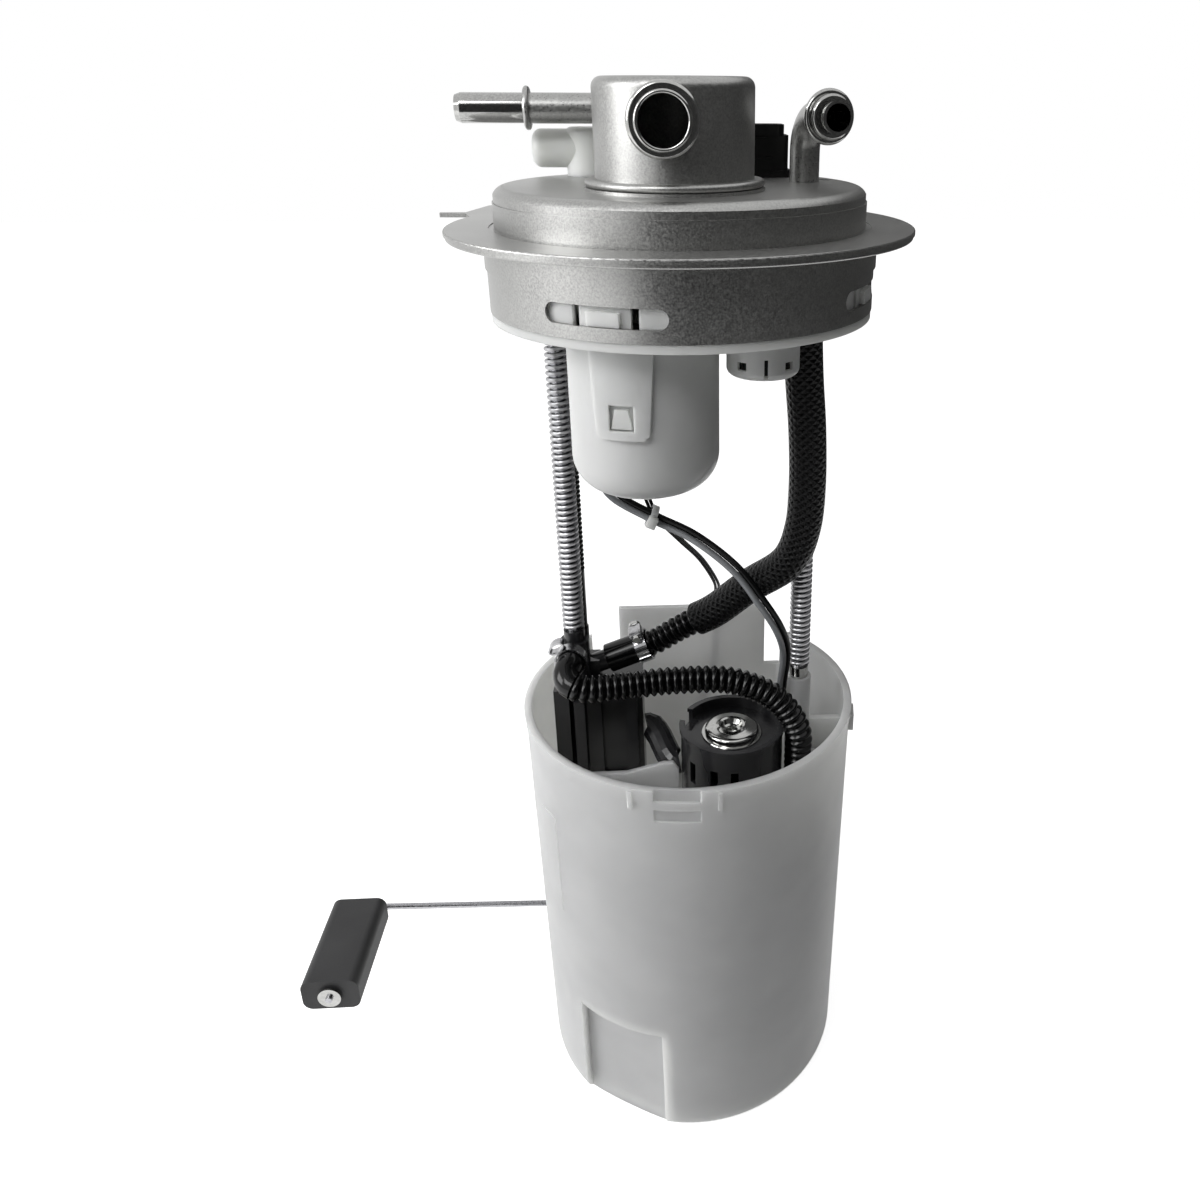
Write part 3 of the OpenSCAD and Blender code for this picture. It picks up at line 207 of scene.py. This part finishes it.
natural_acetal = moulded("natural_acetal_moulded", "#d9dad8", "#e6e7e4", 0.4, 2.0, 0.06, 0.95, 16)
white_nylon = moulded("white_nylon_moulded", "#e0e2df", "#e8e9e6", 0.36, 1.5, 0.06, 0.9)
black_nylon = moulded("glass_filled_black_nylon", "#1e1e20", "#2c2c2e", 0.22, 1.6, 0.08)
black_pbt = moulded("black_pbt_connector", "#060606", "#0e0e0e", 0.3, 0.8, 0.1, shine=0.3)
black_rubber = moulded("black_nitrile_rubber", "#0e0e0e", "#181818", 0.55, 0.6, 0.25)
hose_nylon = moulded("black_hose_nylon_extruded", "#040405", "#09090a", 0.13, 3.0, 0.02, shine=0.32)
float_skin = moulded("black_closed_cell_foam", "#202021", "#333334", 0.55, 0.7, 0.5)
black_pvc = moulded("black_wire_insulation", "#050506", "#0b0b0c", 0.35, 2.0, 0.05, shine=0.2)
grey_pvc = moulded("grey_wire_insulation", "#747679", "#8b8d90", 0.35, 2.0, 0.05)
brown_resin = moulded("phenolic_resin_moulded", "#33231a", "#46301f", 0.45, 1.0, 0.2)
ceramic = moulded("ceramic_resistor_card", "#dcd8cc", "#e7e3d8", 0.4, 1.0, 0.1)
print("plastics ready")

# %% Make the metals inside the pump
brass = grained_steel("tin_plated_brass", "#a08848", "#c8ad62", 0.3, 0.8, 0.1)
copper = grained_steel("enamelled_copper_windings", "#7a3d20", "#a65a32", 0.35, 0.9, 0.6)
ferrite = grained_steel("sintered_ferrite", "#232326", "#37373a", 0.6, 0.5, 0.4)
aluminium = grained_steel("die_cast_aluminium", "#8f8f8d", "#b5b5b2", 0.45, 0.8, 0.4)
print("inner metals ready")

# %% [markdown]
# ## Dress the CAD nodes
# Most nodes already have the right shape, so they keep their meshes and only get a finish. A slot is linked
# to the object first, because the frame's meshes are never changed.

# %% Give each CAD node its finish
def dress(material, *names):
    for name in names:
        for slot in nodes[name].material_slots:
            slot.link = "OBJECT"
            slot.material = material


dress(blasted_stainless, "flange_cover", "skirt", "vapor_can", "pump_shell")
dress(turned_stainless, "vapor_port", "spring_bush", "push_nut")
dress(feed_steel, "feed_tube")
dress(elbow_steel, "elbow_tube")
dress(drawn_wire, "guide_rod_left", "guide_rod_right", "rod_clips", "float_arm")
dress(spring_wire, "vent_spring")
dress(natural_acetal, "reservoir")
dress(white_nylon, "pressure_sensor", "carrier_plate", "valve_cup", "rollover_cap", "strainer")
dress(black_pbt, "connector_body")
dress(black_nylon, "vent_float", "rollover_float", "spring_seat", "hose_bracket", "transfer_tube",
      "pump_cage", "pump_end_cap", "jet_pump", "sender_housing")
dress(black_rubber, "connector_seal", "sensor_grommet", "pump_isolators", "umbrella_valve")
dress(float_skin, "float")
dress(brass, "connector_terminals", "wiper")
dress(copper, "pump_armature")
dress(ferrite, "pump_magnets")
dress(aluminium, "pump_inlet_cover")
dress(brown_resin, "pump_impeller")
dress(ceramic, "sender_card")
print("nodes dressed")

# %% [markdown]
# ## Tools for round and bent pieces
# Springs, hoses and wires start straight. A profile is spun into a tube along +Z, which is easy to see and
# check, and then every vertex is carried to the same distance along the real route. The frame that carries it
# never twists, so ribs stay square to the hose in every bend.

# %% Spin a profile, and bend a straight tube along a route
def spin_profile(profile, sides):
    bm = bmesh.new()
    corners = [bm.verts.new(mm(radius, 0, height)) for radius, height in profile]
    lines = [bm.edges.new(pair) for pair in zip(corners, corners[1:])]
    bmesh.ops.spin(bm, geom=corners + lines, cent=(0, 0, 0), axis=(0, 0, 1), angle=math.tau, steps=sides,
                   use_merge=True)
    bmesh.ops.remove_doubles(bm, verts=bm.verts, dist=1e-6)
    bmesh.ops.recalc_face_normals(bm, faces=bm.faces)
    return bm


def smooth_route(points, steps):
    points = [Vector(p) for p in points]
    route = []
    for i in range(len(points) - 1):
        a, b = points[max(i - 1, 0)], points[i]
        c, d = points[i + 1], points[min(i + 2, len(points) - 1)]
        linear, square, cube = c - a, 2 * a - 5 * b + 4 * c - d, 3 * b - 3 * c + d - a
        for k in range(steps):
            t = k / steps
            route.append(0.5 * (2 * b + linear * t + square * t ** 2 + cube * t ** 3))
    return route + [points[-1]]


def route_frames(route, side):
    frames, travelled, side = [], 0.0, Vector(side)
    for i, point in enumerate(route):
        ahead = (route[min(i + 1, len(route) - 1)] - route[max(i - 1, 0)]).normalized()
        side = (side - ahead * side.dot(ahead)).normalized()
        travelled += (point - route[i - 1]).length if i else 0.0
        frames.append((travelled, point, side.copy(), ahead.cross(side)))
    return frames


def bend_along(bm, route, side=(0, 1, 0)):
    frames = route_frames(route, side)
    for vertex in bm.verts:
        along = min(max(vertex.co.z * 1000, 0.0), frames[-1][0])
        i = next(k for k in range(1, len(frames)) if frames[k][0] >= along - 1e-9)
        (s0, p0, u0, v0), (s1, p1, u1, v1) = frames[i - 1], frames[i]
        t = (along - s0) / (s1 - s0)
        u, v = u0.lerp(u1, t).normalized(), v0.lerp(v1, t).normalized()
        vertex.co = p0.lerp(p1, t) / 1000 + u * vertex.co.x + v * vertex.co.y
    bm.normal_update()


def route_length(route):
    return sum((b - a).length for a, b in zip(route, route[1:]))


def make_piece(name, bm, material, sharp=35):
    mesh = bpy.data.meshes.new(name)
    bm.to_mesh(mesh)
    bm.free()
    mesh.materials.append(material)
    mesh.shade_smooth()
    mesh.set_sharp_from_angle(angle=math.radians(sharp))
    piece = bpy.data.objects.new(name, mesh)
    scene.collection.objects.link(piece)
    print(name, "faces:", len(mesh.polygons))
    return piece


# %% [markdown]
# ## Guide springs
# Each rod carries a long compression spring of 1.5 mm wire with a coil every 2.1 mm. In Blender a spring is a
# circle that is spun and lifted at once: the spin operator's dvec moves each step up by a fixed amount, which
# gives a true helix. Between head and reservoir it shortens as the pot slides.

# %% Coil the two springs
def coil_spring(name, rod_x, low, top, pitch=2.1, wire=1.5, outer=4.1):
    coils = round((top - low - wire) / pitch)
    bm = bmesh.new()
    section = bmesh.ops.create_circle(bm, segments=10, radius=wire / 2000)["verts"]
    bmesh.ops.rotate(bm, verts=section, matrix=Matrix.Rotation(math.pi / 2, 3, "X"))
    bmesh.ops.translate(bm, verts=section, vec=mm(rod_x + outer - wire / 2, 0, low + wire / 2))
    steps = coils * 24
    lift = (top - low - wire) / steps / 1000
    bmesh.ops.spin(bm, geom=bm.verts[:] + bm.edges[:], cent=mm(rod_x, 0, 0), axis=(0, 0, 1),
                   dvec=(0, 0, lift), angle=math.tau * coils, steps=steps, use_merge=False)
    bmesh.ops.holes_fill(bm, edges=[e for e in bm.edges if e.is_boundary], sides=10)
    bmesh.ops.recalc_face_normals(bm, faces=bm.faces)
    spring = make_piece(name, bm, spring_wire)
    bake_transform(spring)
    return spring


plate_bottom, rod_x = -25.3, 43
for side, low, node in ((-1, -145, "spring_left"), (1, -163.6, "spring_right")):
    spring = coil_spring("coil_" + node, side * rod_x, low, plate_bottom)
    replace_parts(spring, node)

# %% [markdown]
# ## Braided sleeve and feed hose
# The feed hose is corrugated nylon, and a black polyester braid covers it down to the pot. The braid is a
# plain tube whose UV map runs round and along it, so two crossing sets of slanted bands follow every bend.
# The strands cross every 2.8 mm along the hose, wide enough to show as drawn. The yarn is dyed through and
# almost black. Its crowns are painted a shade lighter as painted highlight and the gaps between strands
# darker as painted shade, and the weave also shows where its crowns catch the light at the edges.

# %% Make the braid's material
def braided_polyester(name, turns_per_mm, strands):
    material, tree, shader, place = start_material(name, "#0a0a0a", 0.0, 0.35)
    shader.inputs["Specular IOR Level"].default_value = 0.12
    split = add_node(tree, "ShaderNodeSeparateXYZ", links={"Vector": place.outputs["UV"]})
    heights = []
    for direction in (1, -1):
        around = add_node(tree, "ShaderNodeMath", {1: float(strands)}, {0: split.outputs["X"]},
                          operation="MULTIPLY")
        slanted = add_node(tree, "ShaderNodeMath", {1: direction * turns_per_mm * strands},
                           {0: split.outputs["Y"], 2: around.outputs[0]}, operation="MULTIPLY_ADD")
        turn = add_node(tree, "ShaderNodeMath", {1: math.tau}, {0: slanted.outputs[0]}, operation="MULTIPLY")
        wave = add_node(tree, "ShaderNodeMath", links={0: turn.outputs[0]}, operation="SINE")
        heights.append(wave.outputs[0])
    braid = add_node(tree, "ShaderNodeMath", links={0: heights[0], 1: heights[1]}, operation="MAXIMUM")
    fibre_mm = 1 / 1.5
    weave_height_and_painted_light = add_node(tree, "ShaderNodeMath", {1: 0.8},
                     {0: noise_of(tree, place, fibre_mm, 2.0), 2: braid.outputs[0]}, operation="MULTIPLY_ADD")
    # Painted light: the crowns take the lighter colour as a painted highlight, the gaps the darker one as
    # painted shade.
    mix_colours(tree, shader, weave_height_and_painted_light.outputs[0], "#020202", "#121213", 0.55, 1.0)
    add_bump(tree, shader, weave_height_and_painted_light.outputs[0], 0.9, 0.35)
    return material


braid = braided_polyester("braided_polyester_sleeve", 0.03, 12)
print("braid ready")

# %% Lay the sleeve over the hose
sleeve_points = [(38.9, -12, -25.7), (40, -12, -45), (41.6, -12.2, -64), (42.2, -12.4, -84), (41, -12, -101),
                 (36, -9.5, -115), (23, -1, -128.3), (11, 4.6, -140.8), (4, 7.4, -146)]
hose_points = [(-5, 9, -151.8), (-12.3, 9, -156.2), (-21.7, 9, -159.8), (-31, 9, -163.4)]
sleeve_route = smooth_route(sleeve_points, 6)
sleeve_length = route_length(sleeve_route)


def map_round_and_along(bm, radius_mm):
    layer = bm.loops.layers.uv.new("UVMap")
    for face in bm.faces:
        angles = [math.atan2(loop.vert.co.y, loop.vert.co.x) / math.tau % 1.0 for loop in face.loops]
        wraps = max(angles) - min(angles) > 0.5
        for loop, angle in zip(face.loops, angles):
            loop[layer].uv = (angle + 1.0 if wraps and angle < 0.5 else angle, loop.vert.co.z * 1000)


rings = int(sleeve_length / 2)
profile = [(5.6, 0.0)] + [(6.5, sleeve_length * i / rings) for i in range(rings + 1)] + [(5.6, sleeve_length)]
bm = spin_profile(profile, 40)
map_round_and_along(bm, 6.5)
bend_along(bm, sleeve_route)
sleeve = make_piece("sleeve_braid", bm, braid)
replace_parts(sleeve, "braided_sleeve")
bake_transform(sleeve)

# %% [markdown]
# ## Corrugated hoses
# A corrugated hose is a bellows: the profile swings between a groove and a crest every 3 mm, with a flat
# cuff at each fitting. A raised cosine gives the rounded crest, and seven points per rib are enough.

# %% Spin and bend a corrugated hose
def cuff_rings(radius, start, end, step=1.5):
    count = max(1, round((end - start) / step))
    return [(radius, start + (end - start) * i / count) for i in range(count + 1)]


def rib_profile(length, crest, groove, pitch, start_cuff, end_cuff, cuff_radii, per_rib=7):
    ribbed = length - start_cuff - end_cuff
    count = int(ribbed / pitch)
    profile = [(groove - 0.8, 0.0)] + cuff_rings(cuff_radii[0], 0.0, start_cuff)
    for i in range(count * per_rib + 1):
        wave = 0.5 - 0.5 * math.cos(math.tau * i / per_rib)
        profile.append((groove + (crest - groove) * wave ** 0.6, start_cuff + ribbed * i / (count * per_rib)))
    return profile + cuff_rings(cuff_radii[1], length - end_cuff, length) + [(groove - 0.8, length)]


feed_route = smooth_route(sleeve_points + hose_points, 6)
feed_length = route_length(feed_route)
bm = spin_profile(rib_profile(feed_length, 5.2, 4.1, 2.9, 6, 16, (4.6, 5.7)), 32)
bend_along(bm, feed_route)
hose = make_piece("feed_hose_corrugated", bm, hose_nylon, 60)
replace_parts(hose, "feed_hose")
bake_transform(hose)

return_points = [(-44, -5.5, -153.5), (-44, -12, -153.5), (-45.2, -15.6, -155), (-43.6, -19.4, -157.6),
                 (-37.5, -20.4, -159.2), (-28, -18.8, -159.6), (-18, -17.4, -159.4), (-7, -16.8, -158.8),
                 (10.5, -17, -158.6), (21.4, -17.6, -161), (30.6, -18, -165.8), (37, -18.8, -172.7),
                 (40.9, -19.4, -181.4), (41, -19, -191.5), (41, -19, -215), (41, -19, -255), (41, -19, -300)]
return_route = smooth_route(return_points, 6)
bm = spin_profile(rib_profile(route_length(return_route), 5.2, 4.0, 2.8, 17, 10, (4.9, 4.9)), 36)
bend_along(bm, return_route, (1, 0, 0.3))
hose = make_piece("return_hose_corrugated", bm, hose_nylon, 60)
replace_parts(hose, "return_hose")
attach(hose, "reservoir")

# %% Stand the drain tube behind the left rod
drain_length = 149.3 - 25.3
bm = spin_profile(rib_profile(drain_length, 3.2, 2.75, 1.8, 3, 24, (3.0, 3.0), 4), 20)
bmesh.ops.rotate(bm, verts=bm.verts, matrix=Matrix.Rotation(math.pi, 3, "X"))
bmesh.ops.translate(bm, verts=bm.verts, vec=mm(-41.71, 10, plate_bottom))
drain = make_piece("drain_tube_corrugated", bm, hose_nylon, 60)
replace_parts(drain, "drain_tube")
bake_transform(drain)

# %% [markdown]
# ## Wires and the cable tie
# Two pump wires leave the carrier behind the cup, meet two thin sender wires in a cable tie, and arch over to
# the pump. They are plain round tubes, so a spun profile with a smooth route is all they need. The pump wires
# lie side by side down to the pump's cage and then spread to its two terminals.

# %% Route the wires
wire_points = [(-24, 14, -26), (-29.5, 12, -60), (-30.5, 9.5, -82), (-27, 7, -93), (-12.4, 4, -101.5),
               (2.6, -3, -106.8), (17, -11, -116), (26.5, -13.8, -128.5), (33.6, -11.5, -141.5),
               (36.8, -7, -154),
               (36.2, -4, -168), (35.4, 0, -186), (33, 4.5, -200), (27.5, -2, -208), (21, -8.5, -210)]
thin_points = [(-14, 16, -26), (-17, 14, -60), (-16, 11, -88), (-11.5, 8.4, -102.6), (-7.3, 12.5, -109.2),
               (-0.9, 22, -120.2), (6.4, 33, -132.9), (12.5, 44, -148), (13.6, 49.6, -156),
               (13.8, 49.8, -165),
               (11, 49.4, -190), (0, 49.4, -235), (-16, 49.4, -275), (-26, 49.6, -294)]


def lay_wire(name, points, radius, material):
    route = smooth_route(points, 5)
    length = route_length(route)
    count = int(length / 2)
    profile = [(0.0, 0.0)] + [(radius, length * i / count) for i in range(count + 1)] + [(0.0, length)]
    bm = spin_profile(profile, 12)
    bend_along(bm, route)
    wire = make_piece(name, bm, material, 60)
    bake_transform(wire)
    return wire


pump_wires = (("wire_black", 1, black_pvc, "black_insulation"),
              ("wire_grey", -1, grey_pvc, "grey_insulation"))
paired_points = 12
for name, sign, material, slot in pump_wires:
    shifts = [(0.9, 0.35, 0.75) if i < paired_points else (1.5, -1, 0) for i in range(len(wire_points))]
    points = [Vector(p) + sign * Vector(s) for p, s in zip(wire_points, shifts)]
    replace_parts(lay_wire("pump_" + name, points, 1.2, material), name)
for number, shift in ((1, -0.75), (2, 0.75)):
    points = [Vector(p) + Vector((shift, 0, 0)) for p in thin_points]
    wire = lay_wire(f"sender_wire_{number}", points, 0.65, black_pvc)
    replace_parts(wire, "sender_wires")

# %% Close the cable tie round the wires
bm = bmesh.new()
band = bmesh.ops.create_circle(bm, segments=28, radius=4.3 / 1000)["verts"]
bmesh.ops.scale(bm, verts=band, vec=(1.0, 1.12, 1.0))
grown = bmesh.ops.extrude_edge_only(bm, edges=bm.edges[:])["geom"]
bmesh.ops.translate(bm, verts=[g for g in grown if isinstance(g, bmesh.types.BMVert)], vec=mm(0, 0, 2.5))
bmesh.ops.recalc_face_normals(bm, faces=bm.faces)
bmesh.ops.solidify(bm, geom=bm.faces[:], thickness=0.0009)
tie_at, tie_lean, tie_width = (-12.4, 5.6, -102), math.radians(-65), 2.5
head_box = Matrix.Translation(mm(0, -6.1, tie_width / 2)) @ Matrix.Diagonal((*mm(4.4, 2.6, 3.6), 1))
head = bmesh.ops.create_cube(bm, size=1.0, matrix=head_box)
bmesh.ops.bevel(bm, geom=list({e for v in head["verts"] for e in v.link_edges}), offset=0.0004, segments=2,
                profile=0.5, affect="EDGES", material=-1)
to_middle = Matrix.Translation(mm(0, 0, -tie_width / 2))
turn = Matrix.Translation(mm(*tie_at)) @ Matrix.Rotation(tie_lean, 4, "Y") @ to_middle
bmesh.ops.transform(bm, verts=bm.verts, matrix=turn)
tie = make_piece("cable_tie_nylon", bm, white_nylon)
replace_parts(tie, "cable_tie")
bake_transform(tie)

# %% [markdown]
# ## Clamps on the hoses
# Two steel clamps hold the hoses. The worm clamp is a slotted band with a housing whose screw pulls the band
# tight. The left one is an ear clamp: a plain band whose ear is pinched shut. Each is made round the Z axis,
# with its ear or housing toward +X, and then stood along the hose.

# %% Close the two clamps
def spin_ring(inner, outer, width, sides):
    half = width / 2
    return spin_profile([(inner, -half), (outer, -half), (outer, half), (inner, half), (inner, -half)], sides)


def stand_along(bm, place, axis, toward):
    z = Vector(axis).normalized()
    x = (Vector(toward) - z * z.dot(Vector(toward))).normalized()
    turn = Matrix((x, z.cross(x), z)).transposed().to_4x4()
    bmesh.ops.transform(bm, verts=bm.verts, matrix=Matrix.Translation(mm(*place)) @ turn)


def soft_edges(bm, verts, width_mm):
    edges = list({e for v in verts for e in v.link_edges if e.calc_face_angle(0) > 0.6})
    bmesh.ops.bevel(bm, geom=edges, offset=width_mm / 1000, segments=2, profile=0.5, affect="EDGES",
                    material=-1)


feed_axis, feed_up = (9.4, 0, 3.6), (-0.3, -0.35, 1)
worm_at, worm_outer = (-17.4, 9, -158.15), 6.5
bm = spin_ring(5.75, worm_outer, 4.8, 40)
middles = {f: f.calc_center_median() for f in bm.faces}
outside = [f for f in bm.faces if middles[f].xy.length * 1000 > worm_outer - 0.1]
outside.sort(key=lambda f: math.atan2(middles[f].y, middles[f].x))
bmesh.ops.inset_individual(bm, faces=outside[1::2], thickness=0.0003, depth=-0.0003)
housing_box = Matrix.Translation(mm(worm_outer + 1.5, 0, 0)) @ Matrix.Diagonal((*mm(3.6, 6.2, 5.4), 1))
housing = bmesh.ops.create_cube(bm, size=1.0, matrix=housing_box)["verts"]
soft_edges(bm, housing, 0.9)
stand_along(bm, worm_at, feed_axis, feed_up)
band = make_piece("worm_clamp_band", bm, clamp_steel)
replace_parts(band, "hose_clamp_worm")
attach(band, "reservoir")

screw_profile = [(0.0, -4.6), (1.9, -4.6), (2.3, -4.2), (2.3, -3.0), (1.5, -2.9), (1.5, 4.2), (0.0, 4.2)]
bm = spin_profile(screw_profile, 20)
bmesh.ops.rotate(bm, verts=bm.verts, matrix=Matrix.Rotation(math.pi / 2, 3, "X"))
bmesh.ops.rotate(bm, verts=bm.verts, matrix=Matrix.Rotation(math.pi, 3, "Z"))
bmesh.ops.translate(bm, verts=bm.verts, vec=mm(worm_outer + 1.6, 0, 0))
stand_along(bm, worm_at, feed_axis, feed_up)
screw = make_piece("worm_clamp_screw", bm, turned_stainless)
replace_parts(screw, "clamp_screw")
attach(screw, "reservoir")

bm = spin_ring(5.3, 5.95, 4.6, 40)
ear = bmesh.ops.create_circle(bm, segments=24, radius=1.0)["verts"]
bmesh.ops.scale(bm, verts=ear, vec=mm(2.0, 3.3, 1))
grown = bmesh.ops.extrude_edge_only(bm, edges=list({e for v in ear for e in v.link_edges}))["geom"]
bmesh.ops.translate(bm, verts=[g for g in grown if isinstance(g, bmesh.types.BMVert)], vec=mm(0, 0, 4.2))
ear_faces = [g for g in grown if isinstance(g, bmesh.types.BMFace)]
bmesh.ops.recalc_face_normals(bm, faces=ear_faces)
bmesh.ops.translate(bm, verts=list({v for f in ear_faces for v in f.verts}), vec=mm(7.7, 0, -2.1))
bmesh.ops.solidify(bm, geom=ear_faces, thickness=0.0006)
stand_along(bm, (-44, -8.8, -153.5), (0, 1, 0), (-0.64, 0, 0.77))
band = make_piece("ear_clamp_band", bm, clamp_steel)
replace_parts(band, "hose_clamp_left")
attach(band, "reservoir")

# %% Press the regulator's cap
regulator_at = mm(16, -13.5, -184.7)
profile = [(1.9, -6.0), (1.9, 0.9), (2.3, 1.6), (3.2, 1.9), (3.7, 2.6), (4.2, 3.6), (5.0, 3.9), (5.8, 3.4),
           (6.6, 3.1), (8.6, 3.1), (9.6, 2.8), (10.2, 2.1), (10.4, 1.2), (10.4, 0.6), (11.4, 0.55),
           (11.6, 0.3), (11.6, 0.02), (9.6, 0.02), (9.6, -18.0), (1.9, -18.0), (1.9, -6.0)]
bm = spin_profile(profile, 64)
bmesh.ops.translate(bm, verts=bm.verts, vec=regulator_at)
cap = make_piece("regulator_cap", bm, turned_stainless)
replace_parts(cap, "pressure_regulator")
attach(cap, "reservoir")

# %% [markdown]
# ## Light, floor and camera
# The photograph is lit from the left: white plastic is pale there and mid grey on the right, and the steel
# runs from silver to dark. So one large soft lamp stands on the left, a second one higher in front lights the
# pot's mouth, and a dark studio card stands round the front and right, where the metal mirrors it. The camera
# doesn't see the card. The background is white by the Light Path trick: the world is brighter and the floor
# glows for camera, mirror and glass rays only, so both look white, and the floor keeps its shadow.

# %% Set the world and the floor
def seen_directly(tree):
    rays = add_node(tree, "ShaderNodeLightPath")
    seen = add_node(tree, "ShaderNodeMath", operation="MAXIMUM",
                    links={0: rays.outputs["Is Camera Ray"], 1: rays.outputs["Is Glossy Ray"]})
    seen = add_node(tree, "ShaderNodeMath", operation="MAXIMUM",
                    links={0: seen.outputs[0], 1: rays.outputs["Is Transmission Ray"]})
    return seen.outputs[0]


world = bpy.data.worlds.new("studio")
scene.world = world
world.use_nodes = True
sky = world.node_tree
for old in list(sky.nodes):
    sky.nodes.remove(old)
strength = add_node(sky, "ShaderNodeMapRange", {"To Min": 0.3, "To Max": 1.0}, {"Value": seen_directly(sky)})
back = add_node(sky, "ShaderNodeBackground", {"Color": (1, 1, 1, 1)},
                {"Strength": strength.outputs["Result"]})
add_node(sky, "ShaderNodeOutputWorld", links={"Surface": back.outputs["Background"]})


def stage_piece(name, bm, base, roughness):
    mesh = bpy.data.meshes.new(name)
    bm.to_mesh(mesh)
    bm.free()
    material, tree, shader, place = start_material(name + "_paint", base, 0.0, roughness)
    mesh.materials.append(material)
    piece = bpy.data.objects.new(name, mesh)
    scene.collection.objects.link(piece)
    return piece, tree, shader


floor_z = -343.2
bm = bmesh.new()
bmesh.ops.create_grid(bm, x_segments=1, y_segments=1, size=3.0, matrix=Matrix.Translation(mm(0, 0, floor_z)))
floor, tree, shader = stage_piece("floor", bm, "#dedede", 0.9)
shader.inputs["Emission Color"].default_value = (1, 1, 1, 1)
glow = add_node(tree, "ShaderNodeMath", {1: 0.88}, {0: seen_directly(tree)}, operation="MULTIPLY")
tree.links.new(glow.outputs[0], shader.inputs["Emission Strength"])
print("world and floor set")


# %% Stand the dark card and place the lamps
card_radius, card_top = 620, 420
card_from, card_to = math.radians(-116), math.radians(85)
bm = bmesh.new()
ends = [bm.verts.new(mm(card_radius, 0, z)) for z in (floor_z + 1, card_top)]
edge = bm.edges.new(ends)
bmesh.ops.rotate(bm, verts=ends, cent=(0, 0, 0), matrix=Matrix.Rotation(card_from, 3, "Z"))
bmesh.ops.spin(bm, geom=ends + [edge], cent=(0, 0, 0), axis=(0, 0, 1), angle=card_to - card_from, steps=24)
card, tree, shader = stage_piece("dark_card", bm, "#5c5c5c", 0.95)
card.visible_camera = False


def add_lamp(name, place, aim, size, watts):
    lamp = bpy.data.lights.new(name, "AREA")
    lamp.size = size
    lamp.energy = watts
    holder = bpy.data.objects.new(name, lamp)
    scene.collection.objects.link(holder)
    holder.location = place
    holder.rotation_euler = (Vector(aim) - Vector(place)).to_track_quat("-Z", "Y").to_euler()
    return holder


add_lamp("key", (-1.0, -0.3, 0.3), (0, 0, -0.12), 0.6, 7.3)
add_lamp("high", (-0.5, -0.8, 0.75), (0, 0, -0.2), 0.5, 5)
print("card and lamps placed")

# %% Aim the camera
focal_px, frame_px, centre_px = 1023.0, 1200, (738, 522)
pitch, roll, yaw = math.radians(22.97), math.radians(0.32), math.radians(3.95)
lens = bpy.data.cameras.new("camera")
lens.sensor_width = 36.0
lens.lens = focal_px / frame_px * lens.sensor_width
lens.shift_x = (frame_px / 2 - centre_px[0]) / frame_px
lens.shift_y = (centre_px[1] - frame_px / 2) / frame_px
lens.clip_start = 0.01
camera = bpy.data.objects.new("camera", lens)
scene.collection.objects.link(camera)
forward = Vector((math.sin(yaw) * math.cos(pitch), math.cos(yaw) * math.cos(pitch), -math.sin(pitch)))
level = Vector((math.cos(yaw), -math.sin(yaw), 0.0))
upward = level.cross(forward)
right = math.cos(roll) * level + math.sin(roll) * upward
up = -math.sin(roll) * level + math.cos(roll) * upward
facing = Matrix((right, up, -forward)).transposed().to_4x4()
camera.matrix_world = Matrix.Translation(mm(-4.8, -343.5, 43.3)) @ facing
scene.camera = camera
scene.view_settings.view_transform = "Standard"
print("camera at", [round(c, 4) for c in camera.location])
